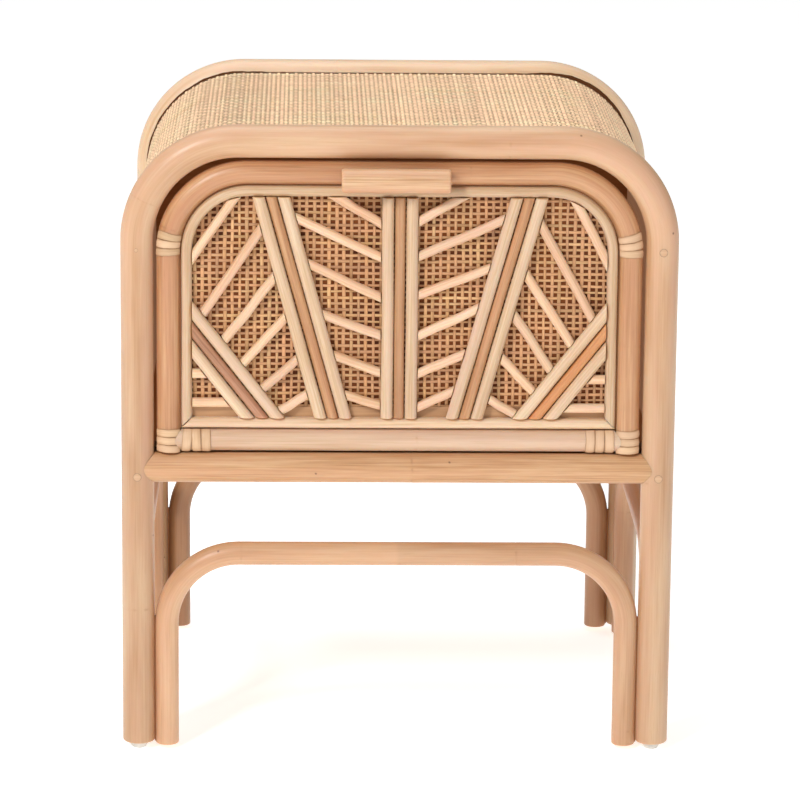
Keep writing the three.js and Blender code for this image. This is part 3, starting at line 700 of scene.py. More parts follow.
# Near black strands: painted shade in the crevice between the weave and the back hoop
CREVICE_SHADE = strand("weave_crevice_shade", *palette("3a200e 54321a 6c4628 5c361e 321c0c"), gloss=0.8, specular=0.08)
STAINED = timber("stained_board", *palette("54260c 743a14 8c4c1e"), (20, 240, 240), gloss=0.8)
BASEBOARD = timber("pattern_base", *palette("966e4e b48a64 c89e76"), (16, 420, 420))
SHELL_PLY = timber("shell_plywood",
                   *palette("c49264 deb080 eac496"), (220, 14, 220), outside=srgb(74, 40, 18))
BACK_PLY = timber("back_plywood", *palette("b28458 c89c6e d6ae80"), (16, 480, 480), ply=("Y", 0.0015))
FLOOR_PLY = timber("floor_plywood", *palette("a6784c c49666 d6aa7a"), (14, 220, 220), ply=("Z", 0.0015))
SIDE_WOOD = timber("side_board", *palette("be9464 d8b282 e6c698"), (240, 12, 240))
BACK_WOOD = timber("back_board", *palette("be9464 d8b282 e6c698"), (12, 240, 240))
GLIDE = plastic("glide_plastic", srgb(214, 212, 206))

# ------------------------------------------------------------------ camera, floor and light

scene = bpy.context.scene
scene.view_settings.view_transform = "Standard"
scene.view_settings.look = "None"


def add_camera():
    data = bpy.data.cameras.new("camera")
    data.lens = CAMERA_LENS
    data.sensor_width = 36
    data.clip_end = 100
    camera = bpy.data.objects.new("camera", data)
    camera.rotation_euler = (
        Matrix.Rotation(-CAMERA_TURN, 3, "Z")
        @ Matrix.Rotation(math.pi / 2 - CAMERA_PITCH, 3, "X")
        @ Matrix.Rotation(CAMERA_ROLL, 3, "Z")
    ).to_euler()
    camera.location = CAMERA_PLACE
    scene.collection.objects.link(camera)
    scene.camera = camera


def build_floor():
    mesh = bpy.data.meshes.new("floor")
    corners = [(x * FLOOR_SIZE, y * FLOOR_SIZE, 0) for x, y in ((-1, -1), (1, -1), (1, 1), (-1, 1))]
    mesh.from_pydata(corners, [], [(0, 1, 2, 3)])
    floor = bpy.data.objects.new("floor", mesh)
    n = Nodes("floor_paint")
    cloud = n.noise(n.object_coordinates(), (3, 3, 3))
    colour = n.brighten(srgb(240, 240, 239), n.spread(cloud, 0.3, 0.7, 0.99, 1.0))
    n.glow(WHITE, FLOOR_GLOW)
    mesh.materials.append(n.finish(colour, 0.8, specular=0.1))
    scene.collection.objects.link(floor)


def add_light(name, place, size, power, colour=(1, 1, 1)):
    data = bpy.data.lights.new(name, "AREA")
    data.size = size
    data.energy = power
    data.color = colour
    light = bpy.data.objects.new(name, data)
    light.location = place
    aim = Vector(LIGHT_TARGET) - Vector(place)
    light.rotation_euler = aim.to_track_quat("-Z", "Y").to_euler()
    scene.collection.objects.link(light)


def build_light():
    world = bpy.data.worlds.new("studio")
    world.use_nodes = True
    background = world.node_tree.nodes["Background"]
    background.inputs["Color"].default_value = WHITE
    background.inputs["Strength"].default_value = WORLD_LIGHT
    scene.world = world
    add_light("key", (-1.7, -2.7, 2.6), 0.6, 82, (1.0, 0.99, 0.975))
    add_light("fill", (2.3, -1.9, 1.2), 1.6, 8, (1.0, 0.99, 0.98))
    add_light("top", (-0.3, 0.3, 2.6), 1.5, 21)


add_camera()
build_floor()
build_light()

# ------------------------------------------------------------------ frame


def hoop_arch(node, bend):
    """Reads an arch in the plane of its node from the node's box: its outline, its pole's
    radius and its place front to back."""
    area = Box(node)
    radius = area.half[1]
    return (area.high[0] - radius, area.high[2] - radius, area.low[2], bend), radius, area.middle[1]


def side_arch(node, bend):
    """The same for an arch that runs front to back, with its place in x and y."""
    area = Box(node)
    radius = area.half[0]
    return (area.half[1] - radius, area.high[2] - radius, area.low[2], bend), radius, area.middle[:2]


def cope(leg_axis, leg_radius, direction, origin, other=None):
    """Where the surface lines of a rail meet the round leg at its end. other is the height and
    radius of a second pole that crosses there, on the inner side of the rail."""
    side = 1 - direction
    inward = -np.sign(leg_axis[direction] - origin[direction])

    def cut(points):
        away = points[:, side] - leg_axis[side]
        depth = np.sqrt(np.maximum(leg_radius ** 2 - away ** 2, 0))
        if other is not None:
            height, radius = other
            rise = points[:, 2] - height
            crossing = np.sqrt(np.maximum(radius ** 2 - rise ** 2, 0))
            inner = away * np.sign(leg_axis[side]) < 0
            depth = np.where(inner, np.maximum(depth, crossing), depth)
        return (leg_axis[direction] + inward * depth) - points[:, direction]

    return cut


FRONT_HOOP, HOOP_RADIUS, FRONT_Y = hoop_arch("front_hoop", HOOP_BEND)
BACK_Y = hoop_arch("back_hoop", HOOP_BEND)[2]
LEG_X = FRONT_HOOP[0]
RAIL_BOX = Box("front_rail")
RAIL_RADIUS, RAIL_Z = RAIL_BOX.half[2], RAIL_BOX.middle[2]


def build_hoops():
    # The leg tones are painted shade on the lower legs, deepest on the back hoop
    for name, y, material, leg_shade_tones in (
        ("front_hoop", FRONT_Y, POLE, (-1.3, -0.8)),
        ("back_hoop", BACK_Y, LIT_BACK_POLE, (-3.8, -3.2)),
    ):
        shape = Shape()
        bent_pole(shape, FRONT_HOOP, HOOP_RADIUS, name, y, spacing=HOOP_RINGS, bevel=0.002,
                  leg_shade_tones=leg_shade_tones, unevenness=HOOP_UNEVENNESS)
        shape.piece(name + "_pole", "frame", "rattan_pole", [name], [material, END])


def build_rails():
    reach = HOOP_RADIUS + LEG_GAP
    crossing = (RAIL_Z, RAIL_RADIUS + LEG_GAP)
    rails = []
    for name, y in (("front_rail", FRONT_Y), ("back_rail", BACK_Y)):
        start = (0, y, RAIL_Z)
        cuts = [cope((side * LEG_X, y), reach, 0, start) for side in (-1, 1)]
        rails.append((name, start, (1, 0, 0), cuts, (0, -1, 0)))
    for name, x in (("left_rail", -LEG_X), ("right_rail", LEG_X)):
        start = (x, (FRONT_Y + BACK_Y) / 2, RAIL_Z)
        cuts = [cope((x, y), reach, 1, start, crossing) for y in (FRONT_Y, BACK_Y)]
        rails.append((name, start, (0, 1, 0), cuts, (-1, 0, 0)))
    for name, start, along, cuts, across in rails:
        shape = Shape()
        straight_pole(shape, start, along, RAIL_RADIUS, name, cuts, spacing=RAIL_RINGS,
                      sides=THICK_SIDES, bevel=0, unevenness=RAIL_UNEVENNESS, across=across)
        shape.piece(name + "_pole", "frame", "rattan_pole", [name], [RAIL, END])


def build_braces():
    # The leg tones are painted shade on the lower legs, with a little painted light on the front brace's
    # left leg
    for name, leg_shade_tones in (
        ("front_brace", (0.3, -0.6)), ("back_brace", (-4.8, -2.4)),
        ("left_brace", (-2.0, -2.0)), ("right_brace", (-2.0, -2.0)),
    ):
        shape = Shape()
        if name in ("front_brace", "back_brace"):
            brace, radius, y = hoop_arch(name, BRACE_BEND)
            x = None
        else:
            brace, radius, (x, y) = side_arch(name, BRACE_BEND)
        bent_pole(shape, brace, radius, name, y, x, spacing=BRACE_RINGS, leg_shade_tones=leg_shade_tones,
                  unevenness=HOOP_UNEVENNESS)
        shape.piece(name + "_pole", "frame", "rattan_pole", [name], [BRACE_POLE, END])


def joint_strip(shape, middle, half_sizes, low, high):
    """An upright strip with a rectangular section."""
    heights = np.linspace(low, high, 40)
    corners = np.array([(-1, -1), (1, -1), (1, 1), (-1, 1)]) * half_sizes + middle
    rings = np.stack([np.column_stack([corners, np.full(4, height)]) for height in heights])
    shape.tube(rings, rings[:, :, [2, 0, 1]])


def build_brace_joints():
    """Glue in the seams between the braces' legs and the hoops' legs."""
    for name in ("front_brace", "back_brace", "left_brace", "right_brace"):
        if name in ("front_brace", "back_brace"):
            brace, radius, y = hoop_arch(name, BRACE_BEND)
            x, direction, hoop_face = 0.0, 0, LEG_X - HOOP_RADIUS
        else:
            brace, radius, (x, y) = side_arch(name, BRACE_BEND)
            direction, hoop_face = 1, BACK_Y - HOOP_RADIUS - y
        brace_face = brace[0] + radius
        half_sizes = np.full(2, JOINT_DEPTH)
        half_sizes[direction] = (hoop_face - brace_face) / 2 + JOINT_SINK
        shape = Shape()
        for side in (-1, 1):
            middle = np.array([x, y])
            middle[direction] += side * (hoop_face + brace_face) / 2
            joint_strip(shape, middle, half_sizes, brace[2] + 0.002, brace[1] - brace[3] + 0.006)
        shape.piece(name + "_joints", "frame", "rattan_pole", [name], [GLUE])


def build_glides():
    """Turned feet: shares of the height, and radii as shares of the widest."""
    sides = 32
    shares = np.array([0.0, 0.02, 0.12, 0.5, 0.72, 0.95, 1.0])
    widths = np.array([0.55, 0.66, 0.78, 0.93, 1.0, 1.0, 0.96])
    angles = np.linspace(0, 2 * np.pi, sides, endpoint=False)
    spread = np.stack([np.cos(angles), np.sin(angles), np.zeros(sides)], -1)
    for node in ("front_left_glide", "front_right_glide", "back_left_glide", "back_right_glide"):
        area = Box(node)
        start = np.array([area.middle[0], area.middle[1], area.low[2]])
        rise = np.array([0, 0, area.high[2] - area.low[2]])
        radii = (area.half[0] * widths)[:, None] * np.ones(sides)
        points = start + shares[:, None, None] * rise + radii[:, :, None] * spread
        grain = grain_of(shares * rise[2], angles, radii, rng_for(node))
        shape = Shape()
        shape.tube(points, grain, centres=start + shares[[0, -1], None] * rise)
        shape.piece(node + "_foot", "frame", "glide_plastic", [node], [GLIDE], sharp=35)


def build_plugs():
    """Wooden plugs: discs that follow the leg's round front, with a dark joint line round them."""
    shares = (0.3, 0.6, 0.84, 0.94, 1.0)
    lifts = (0.0, 0.0, -0.00002, -0.0001, -0.0007)
    marks = (0, 0, 0.1, 0.8, 0.8, 0.8)
    back_y = FRONT_Y - HOOP_RADIUS + 0.003
    angles = np.linspace(0, 2 * np.pi, 32, endpoint=False)
    for node in ("left_upper_plug", "left_lower_plug", "right_upper_plug", "right_lower_plug"):
        area = Box(node)
        x, z = area.middle[0], area.middle[2]
        wide = area.half[0] * (0.45 if node == "left_upper_plug" else 0.95)
        rings, grain = [], []
        for share, lift in zip(shares, lifts):
            across, up = wide * share * np.cos(angles), wide * share * np.sin(angles)
            out = np.sqrt(HOOP_RADIUS ** 2 - across ** 2) + lift
            rings.append(np.stack([x + across, FRONT_Y - out, z + up], -1))
            grain.append(np.stack([across * 0.2, up, out], -1))
        back = rings[-1].copy()
        back[:, 1] = back_y
        centres = [(x, FRONT_Y - HOOP_RADIUS, z), (x, back_y, z)]
        shape = Shape()
        shape.tube(np.array(rings + [back]), np.array(grain + [grain[-1]]),
                   ring=np.array(marks)[:, None], centres=centres)
        shape.piece(node + "_disc", "frame", "wood_plug", [node], [PLUG_WOOD], sharp=80)


build_hoops()
build_rails()
build_braces()
build_brace_joints()
build_glides()
build_plugs()

# ------------------------------------------------------------------ woven cane

OUT_OF_FRONT = np.array([0, -1.0, 0])


def strand_run(shape, centres, across, out, width, tone, rng, edge_shade=0.55, under_shade=None):
    """One flat strand along a line of points: a closed ribbon with a crowned face. Its edges darken,
    and so do the stations that go under its neighbours, as far as the last argument says: painted shade
    along the gaps between strands and under the crossing strands."""
    half, rise = width / 2, STRAND_THICKNESS / 2
    section = [(-1.0, -0.2), (-0.55, 1.0), (0.55, 1.0), (1.0, -0.2)]
    steps = np.linalg.norm(np.diff(centres, axis=0), axis=1)
    travel = np.concatenate([[0], np.cumsum(steps)])
    rings = np.stack([centres + side * half * across + up * rise * out for side, up in section], 1)
    sides = np.broadcast_to(np.array([side for side, _ in section]) * half, rings.shape[:2])
    grain = lengthwise(travel, sides, np.zeros(sides.shape)) + grain_start(rng)
    marks = np.array([1.0, 0, 0, 1.0])[None, :] * edge_shade
    if under_shade is not None:
        marks = np.maximum(marks, under_shade[:, None])
    shape.tube(rings, grain, tone, marks)


def woven_heights(places, pitch, start, parity, amplitude, steps):
    """Stations along a strand that goes over one crossing strand and under the next."""
    low, high = places
    first = math.ceil((low - start) / pitch)
    last = math.floor((high - start) / pitch)
    crossings = np.arange(first * steps, last * steps + 1) / steps
    spots = start + crossings * pitch
    heights = amplitude * np.cos(np.pi * crossings) * (1 if parity % 2 else -1)
    spots = np.concatenate([[low], spots, [high]])
    heights = np.concatenate([[heights[0]], heights, [heights[-1]]])
    keep = np.concatenate([[True], np.diff(spots) > 1e-5])
    return spots[keep], heights[keep]


def dip_shade(heights, amplitude, rng):
    """How dark the painted shade is at each station: 0 on a strand's crests, and up to 1 where it goes
    under another strand.
    """
    return np.clip(0.45 - 0.75 * heights / amplitude, 0, 1) * rng.uniform(0.4, 1.0, len(heights))


def bump_at(share, place, width):
    """A smooth bump, 1 high, in a curve along an arch."""
    return np.exp(-((share - place) / width) ** 2)


def split_gap(travel, length):
    """How far the weave has pulled away from the back hoop, at distances along the arch: a
    crack down both bends that closes towards the middle of the top."""
    share = travel / length
    bends = np.maximum(0.55 * bump_at(share, 0.345, 0.04), bump_at(share, 0.655, 0.055))
    sides = 0.35 * (np.abs(share - 0.5) > 0.17)
    ragged = 0.1 * wander(travel, rng_for("split"), 0.05)
    return SPLIT_WIDTH * np.clip(np.maximum(bends, sides) + ragged, 0.04, 1)


def weave_painted_light(share):
    """Painted light: the weave is paler over the top and down the right side."""
    return 1.5 * np.clip((share - 0.2) / 0.45, 0, 1)


def build_case_weave():
    area = Box("case_weave")
    front, back = area.low[1], area.high[1]
    middle = CLOSE_LAYER / 2
    arch = (area.high[0] - middle, area.high[2] - middle, area.low[2], CASE_BEND - middle)
    length = arch_length(*arch)
    columns = int(length / CLOSE_PITCH[0])
    rows = int((back - front) / CLOSE_PITCH[1])
    column_start = (length - (columns - 1) * CLOSE_PITCH[0]) / 2
    row_start = front + (back - front - (rows - 1) * CLOSE_PITCH[1]) / 2
    amplitude = STRAND_THICKNESS * 0.75
    rng = rng_for("case_weave")
    column_tones = rng.normal(0, 0.7, columns) + 0.7 * wander(np.arange(float(columns)), rng, 31)
    column_tones = np.clip(column_tones, -2, 1.2)
    row_tones = np.clip(rng.normal(0, 0.5, rows), -1, 1)
    shapes = [Shape(), Shape(), Shape(), Shape()]
    split = split_gap(column_start + np.arange(columns) * CLOSE_PITCH[0], length)
    for column in range(columns):
        travel = np.array([column_start + column * CLOSE_PITCH[0] + rng.normal(0, 0.0001)])
        path = arch_path(*arch, travel)
        end = back - split[column] - abs(rng.normal(0, 0.0004))
        spots, heights = woven_heights((front, end), CLOSE_PITCH[1], row_start, column, amplitude, 2)
        centres = path.points + heights[:, None] * path.normals
        centres[:, 1] = spots
        along = np.array([path.normals[0, 2], 0, -path.normals[0, 0]])
        width = CLOSE_WIDTH[0] * rng.uniform(0.8, 1.14)
        # Random tone, with painted light over the top and down the right side
        tone = column_tones[column] + weave_painted_light(travel / length)
        # Painted shade along the strand's edges and where it passes under the rows
        strand_run(shapes[column * 2 // columns], centres, along, path.normals[0], width, tone,
                   rng, 0.35, dip_shade(heights, amplitude, rng))
    for row in range(rows):
        y = row_start + row * CLOSE_PITCH[1] + rng.normal(0, 0.0001)
        spots, heights = woven_heights((0.0005, length - 0.0005), CLOSE_PITCH[0], column_start,
                                       row + 1, amplitude, 2)
        path = arch_path(*arch, spots, y=y)
        centres = path.points + heights[:, None] * path.normals
        width = CLOSE_WIDTH[1] * rng.uniform(0.86, 1.08)
        from_back = rows - 1 - row
        limit = back - split_gap(spots, length) - width / 2 - from_back * CLOSE_PITCH[1] * 0.75
        centres[:, 1] = np.minimum(centres[:, 1], limit)
        # Random tone, with painted light over the top and down the right side
        tone = row_tones[row] + weave_painted_light(spots / length)
        # Painted shade along the strand's edges and where it passes under the columns
        strand_run(shapes[2 + row * 2 // rows], centres, -path.fronts, path.normals, width, tone,
                   rng, 0.5, dip_shade(heights, amplitude, rng))
    names = ("case_columns_left", "case_columns_right", "case_rows_front", "case_rows_back")
    for name, shape in zip(names, shapes):
        shape.piece(name, "frame", "close_weave", ["case_weave"], [CLOSE], sharp=75)
    # Painted shade: a dark cord in the crevice beside the back hoop
    build_crevice_shade((area.high[0], area.high[2], area.low[2], CASE_BEND), back)


def build_crevice_shade(arch, back):
    """A dark cord in the corner between the weave and the back hoop, tallest on the bends: painted shade
    standing in for the shadowed crevice there.
    """
    length = arch_length(*arch)
    travel = np.linspace(0.001, length - 0.001, 600)
    path = arch_path(*arch, travel)
    share = travel / length
    bends = np.maximum(0.42 * bump_at(share, 0.32, 0.05), bump_at(share, 0.705, 0.05))
    sides = 0.35 * (np.abs(share - 0.5) > 0.2)
    ragged = 0.09 * wander(travel, rng_for("seam"), 0.03)
    rise = np.clip(np.maximum(bends, sides) + ragged, 0.06, 1) * CREVICE_SHADE_RISE
    low_lift = np.full_like(rise, 0.0001)
    high_lift = low_lift + rise
    low_face, high_face = (
        BACK_Y - np.sqrt(HOOP_RADIUS ** 2 - (arch[0] - LEG_X + lift) ** 2) - 0.00005
        for lift in (low_lift, high_lift)
    )
    corners = [(low_lift, np.full_like(rise, back - CREVICE_SHADE_DEPTH)), (low_lift, low_face),
               (high_lift, high_face), (high_lift, high_face - CREVICE_SHADE_DEPTH)]
    rings = np.stack([
        path.points + lift[:, None] * path.normals + place[:, None] * -OUT_OF_FRONT
        for lift, place in corners
    ], 1)
    shape = Shape()
    shape.tube(rings, lengthwise(travel, rings[:, :, 1], rings[:, :, 2]))
    shape.piece("weave_back_crevice_shade", "frame", "close_weave", ["case_weave"], [CREVICE_SHADE], sharp=75)


def arch_half_width(arch, height):
    """How far an arch's outline reaches to each side at a height."""
    half, top, _, bend = arch
    over = max(height - (top - bend), 0)
    return half - bend + math.sqrt(max(bend ** 2 - over ** 2, 0))


def arch_top(arch, across):
    """How high an arch's outline reaches at a distance from its middle."""
    half, top, _, bend = arch
    over = max(abs(across) - (half - bend), 0)
    return top - bend + math.sqrt(max(bend ** 2 - over ** 2, 0))


def build_front_weave():
    area = Box("drawer_front_panel")
    foot = area.low[2] + 0.0005
    arch = (area.high[0] - 0.0005, area.high[2] - 0.0005, foot, REBATE_BEND)
    plane = area.low[1] - 0.0003 - OPEN_LAYER / 2
    rng = rng_for("front_weave")
    counts = (int(2 * arch[0] / OPEN_PITCH[0]), int((arch[1] - foot) / OPEN_PITCH[1]))
    firsts = (
        -(counts[0] - 1) * OPEN_PITCH[0] / 2,
        foot + (arch[1] - foot - (counts[1] - 1) * OPEN_PITCH[1]) / 2,
    )
    amplitude = STRAND_THICKNESS * 0.55
    shape = Shape()
    for level in (0, 1):    # the upright strands, then the level ones
        for k in range(counts[level]):
            place = firsts[level] + k * OPEN_PITCH[level]
            reach = arch_half_width(arch, place)
            ends = (-reach, reach) if level else (foot, arch_top(arch, place))
            spots, heights = woven_heights(ends, OPEN_PITCH[1 - level], firsts[1 - level],
                                           k + level, amplitude, 4)
            beside = place + 0.0004 * wander(spots, rng, 0.13 if level else 0.11)
            x, z = (spots, beside) if level else (beside, spots)
            width = OPEN_WIDTH[level] * rng.uniform(0.8, 1.16)
            # Painted shade along each strand's edges
            strand_run(shape, np.stack([x, plane - heights, z], -1), np.eye(3)[2 * level],
                       OUT_OF_FRONT, width, np.clip(rng.normal(-0.1, 0.8), -1.6, 1.2), rng)
    shape.piece("front_webbing", "drawer", "open_webbing", ["drawer_webbing"], [OPEN], sharp=75)
    build_foot_strip(arch[0], foot, plane + 0.0004, rng)


def build_foot_strip(half, foot, face, rng):
    """A plain strip along the foot of the webbing."""
    back = Box("trim_hoop").high[1] - 0.00005
    top = Box("trim_bottom").low[2] + TRIM_BAND + BASEBOARD_RISE
    travel = np.linspace(-half, half, 90)
    flat = np.zeros_like(travel)
    tops = top + 0.0004 * wander(travel, rng, 0.3)
    section = ((flat + foot, face), (flat + foot, back), (tops, back), (tops, face))
    rings = np.stack([np.stack([travel, flat + y, heights], -1) for heights, y in section], 1)
    shape = Shape()
    shape.tube(rings, rings[:, :, [0, 2, 1]] + 5.0)
    shape.piece("front_foot_strip", "drawer", "open_webbing", ["drawer_webbing"], [BASEBOARD])


build_case_weave()
build_front_weave()

# ------------------------------------------------------------------ reed, drawer poles and trim

DRAWER_HOOP, DRAWER_POLE_RADIUS, DRAWER_Y = hoop_arch("drawer_hoop", DRAWER_BEND)
DRAWER_RAIL_BOX = Box("drawer_bottom_rail")
DRAWER_RAIL_RADIUS, DRAWER_RAIL_Z = DRAWER_RAIL_BOX.half[2], DRAWER_RAIL_BOX.middle[2]
TRIM_BOX = Box("trim_hoop")
TRIM_FOOT_BOX = Box("trim_bottom")


def build_reed():
    arch, radius, y = hoop_arch("case_front_reed", REED_BEND)
    shape = Shape()
    bent_pole(shape, arch, radius, "case_front_reed", y, sides=12, bevel=0.0003)
    shape.piece("case_reed", "frame", "light_cane", ["case_front_reed"], [LIGHT, END])


def build_drawer_poles():
    shape = Shape()
    bent_pole(shape, DRAWER_HOOP, DRAWER_POLE_RADIUS, "drawer_hoop", DRAWER_Y,
              spacing=DRAWER_HOOP_RINGS, bevel=0.0008, tone=-0.4)
    shape.piece("drawer_hoop_pole", "drawer", "drawer_pole", ["drawer_hoop"], [DRAWER_POLE, END])
    shape = Shape()
    start = (0, DRAWER_Y, DRAWER_RAIL_Z)
    cuts = [cope((side * DRAWER_HOOP[0], DRAWER_Y), DRAWER_POLE_RADIUS + DRAWER_LEG_GAP, 0, start)
            for side in (-1, 1)]
    straight_pole(shape, start, (1, 0, 0), DRAWER_RAIL_RADIUS, "drawer_bottom_rail", cuts,
                  spacing=DRAWER_RAIL_RINGS, sides=THICK_SIDES, bevel=0, unevenness=RAIL_UNEVENNESS)
    shape.piece("drawer_rail_pole", "drawer", "drawer_pole", ["drawer_bottom_rail"], [RAIL_POLE, END])


def trim_section(wide, rise):
    """Half round cane: flat back, rounded face. Pairs of across and out."""
    turns = np.linspace(0, np.pi, 15)
    return np.stack([wide / 2 * np.cos(turns), rise * np.maximum(np.sin(turns), 0) ** 0.5], -1)


def trim_swell(travel, rng, wavelength):
    """The trim's width at each station, as a share of the widest."""
    return 1 - 0.02 * (1 - wander(travel, rng, wavelength))[:, None]


def build_trim_hoop(section, foot, back):
    """The arch of the trim, mitred at both feet."""
    inset = TRIM_WIDTH / 2
    high = TRIM_BOX.high
    arch = (high[0] - inset, high[2] - inset, foot, REBATE_BEND - inset)
    rng = rng_for("trim_hoop")
    travel = station_places(arch_length(*arch), [])
    path = arch_path(*arch, travel)
    swell = trim_swell(travel, rng, 0.16)
    across = section[None, :, 0] * swell
    out = section[None, :, 1] * np.clip(swell, 0, 1)
    drift = np.minimum(0.0003 * wander(travel, rng, 0.3), 0)[:, None] - 0.0002
    points = (path.points[:, None, :] + np.array([0, back, 0])
              + (across + drift)[:, :, None] * path.normals[:, None, :]
              + out[:, :, None] * path.fronts[:, None, :])
    for end, near, mitre_gap in zip((0, -1), (1, -2), MITRE_GAPS):
        slope = foot + inset - section[:, 0] + mitre_gap
        points[end, :, 2] = slope
        points[near, :, 2] = np.maximum(points[near, :, 2], slope + 0.0005)
    shape = Shape()
    shape.tube(points, lengthwise(travel, across, out) + np.array([3.0, 0.4, 0.9]), -1.9)
    shape.piece("trim_hoop_cane", "drawer", "light_cane", ["trim_hoop"], [LIGHT], sharp=60)
    return rng


def build_glue_line(foot, back, rng):
    """Glue that fills the groove between the trim and the drawer hoop."""
    high = TRIM_BOX.high
    arch = (high[0] + GLUE_BEAD, high[2] + GLUE_BEAD, foot, REBATE_BEND + GLUE_BEAD)
    travel = station_places(arch_length(*arch), [], 0.006)
    path = arch_path(*arch, travel)
    depth = (GLUE_RISE + 0.0003 * wander(travel, rng, 0.05))[:, None]
    corners = [(-0.0004, 0.0), (-0.0001, 0.0), (0.0004, 1.0), (-0.0004, 1.0)]
    rings = np.stack([
        path.points + np.array([0, back, 0]) + across * path.normals + depth * up * path.fronts
        for across, up in corners
    ], 1)
    shape = Shape()
    shape.tube(rings, lengthwise(travel, rings[:, :, 0], rings[:, :, 1]), -1.0)
    shape.piece("trim_glue_line", "drawer", "light_cane", ["trim_hoop"], [GLUE], sharp=60)


def build_trim_bottom(section, back):
    low, high = TRIM_FOOT_BOX.low, TRIM_FOOT_BOX.high
    travel = np.linspace(low[0], high[0], 100)
    share = np.linspace(-1, 1, len(travel))
    ends = high[0] - (section[:, 0] + TRIM_WIDTH / 2)
    swell = trim_swell(travel, rng_for("trim_bottom"), 0.2)
    z = TRIM_FOOT_BOX.middle[2] + section[None, :, 0] * swell
    y = back - section[None, :, 1] * np.clip(swell, 0, 1)
    points = np.stack([share[:, None] * ends[None, :], y, z], -1)
    shape = Shape()
    shape.tube(points, lengthwise(travel, z, y) + np.array([7.0, 0.2, 0.3]), -0.2)
    shape.piece("trim_bottom_cane", "drawer", "light_cane", ["trim_bottom"], [LIGHT], sharp=60)


def build_trim():
    foot, back = TRIM_FOOT_BOX.low[2], TRIM_BOX.high[1]
    section = trim_section(TRIM_WIDTH * 0.985, TRIM_BOX.high[1] - TRIM_BOX.low[1])
    rng = build_trim_hoop(section, foot, back)
    build_glue_line(foot, back, rng)
    build_trim_bottom(section, back)


def build_handle():
    area = Box("drawer_handle")
    length = area.high[0] - area.low[0]
    start = (area.low[0], area.middle[1], area.middle[2])
    cuts = (lambda points: np.zeros(len(points)), lambda points: np.full(len(points), length))
    shape = Shape()
    straight_pole(shape, start, (1, 0, 0), area.half[2], "drawer_handle", cuts,
                  sides=THICK_SIDES, bevel=0.0021, unevenness=0.006)
    shape.piece("handle_rod", "drawer", "light_cane", ["drawer_handle"], [HANDLE, HANDLE])


build_reed()
build_drawer_poles()
build_trim()
build_handle()

# ------------------------------------------------------------------ ray pattern

OPENING = (
    TRIM_BOX.high[0] - TRIM_BAND, TRIM_BOX.high[2] - TRIM_BAND,
    TRIM_FOOT_BOX.low[2] + TRIM_BAND, OPENING_BEND,
)
PATTERN_BACK = TRIM_BOX.high[1]


def inside_opening(x, z):
    half, top, foot, bend = OPENING
    corner_x = np.maximum(np.abs(x) - (half - bend), 0)
    corner_z = np.maximum(z - (top - bend), 0)
    round_off = corner_x ** 2 + corner_z ** 2 <= bend ** 2
    return (np.abs(x) <= half) & (z >= foot) & (z <= top) & round_off


def bundle_line(name):
    """A point on a bundle's middle line and the line's direction, in x and z."""
    foot = OPENING[2]
    side = -1 if name.startswith("left") else 1
    if name == "centre":
        return np.array([0.0, foot]), np.array([0.0, 1.0])
    if name.endswith("ray"):
        return (np.array([side * RAY_FOOT_X, foot]),
                np.array([side * math.sin(RAY_TILT), math.cos(RAY_TILT)]))
    foot_x = OPENING[0] - CORNER_RISE / math.tan(CORNER_TILT)
    return (np.array([side * foot_x, foot]),
            np.array([side * math.cos(CORNER_TILT), math.sin(CORNER_TILT)]))


def beyond(name, outward):
    """A test for points clear of one edge of a bundle, on its outer or inner side."""
    point, direction = bundle_line(name)
    side = (-1 if name.startswith("left") else 1) * (1 if outward else -1)
    normal = np.array([direction[1], -direction[0]]) * side
    edge = BUNDLE_HALF + PATTERN_CLEARANCE
    return lambda x, z: ((x - point[0]) * normal[0] + (z - point[1]) * normal[1]) >= edge


def run_out(tests, direction):
    """A cut: how far a surface line runs along the direction before it leaves the tested zone."""
    def cut(points):
        x, z = points[:, 0], points[:, 2]
        near, far = np.zeros(len(points)), np.full(len(points), 0.6)
        for _ in range(34):
            middle = (near + far) / 2
            at_x, at_z = x + middle * direction[0], z + middle * direction[1]
            inside = inside_opening(at_x, at_z)
            for test in tests:
                inside &= test(at_x, at_z)
            near, far = np.where(inside, middle, near), np.where(inside, far, middle)
        return near
    return cut


def pattern_pole(shape, middle, direction, y, radius, name, tests, **more):
    """A pole of the pattern: it starts at middle and runs both ways until its zone ends."""
    direction = np.array(direction) / np.linalg.norm(direction)
    ahead = run_out(tests, direction)
    behind = run_out(tests, -direction)
    cuts = (lambda points: -behind(points), ahead)
    straight_pole(shape, (middle[0], y, middle[1]), (direction[0], 0, direction[1]), radius, name,
                  cuts, **more)


def build_bundles():
    """Five bundles of three canes. Each is grown both ways from a place near its middle."""
    pitch = LIGHT_CANE_RADIUS + TAN_CANE_RADIUS + CANE_GAP
    for bundle, reach, middle_material, lift in (
        ("centre", 0.0965, TAN, 0.0), ("left_ray", 0.1, TAN, 1.2), ("right_ray", 0.1, TAN, 1.2),
        ("left_corner", 0.048, BROWN, 0.0), ("right_corner", 0.048, ORANGE, 0.0),
    ):
        point, direction = bundle_line(bundle)
        sideways = np.array([direction[1], -direction[0]])
        for place in (-1, 0, 1):
            node = f"{bundle}_cane_{place + 2}"
            radius, material, slot = LIGHT_CANE_RADIUS, LIGHT, "light_cane"
            tone = rng_for(node).uniform(-1.5, -0.4)
            if place == 0:
                radius, material, slot = TAN_CANE_RADIUS, middle_material, "tan_cane"
                tone += lift
            middle = point + direction * reach + sideways * place * pitch
            shape = Shape()
            pattern_pole(shape, middle, direction, PATTERN_BACK - radius, radius, node, [],
                         bevel=0.0005, bow=0.0003, unevenness=CANE_UNEVENNESS, sides=24, tone=tone)
            shape.piece(node + "_rod", "drawer", slot, [node], [material, END])


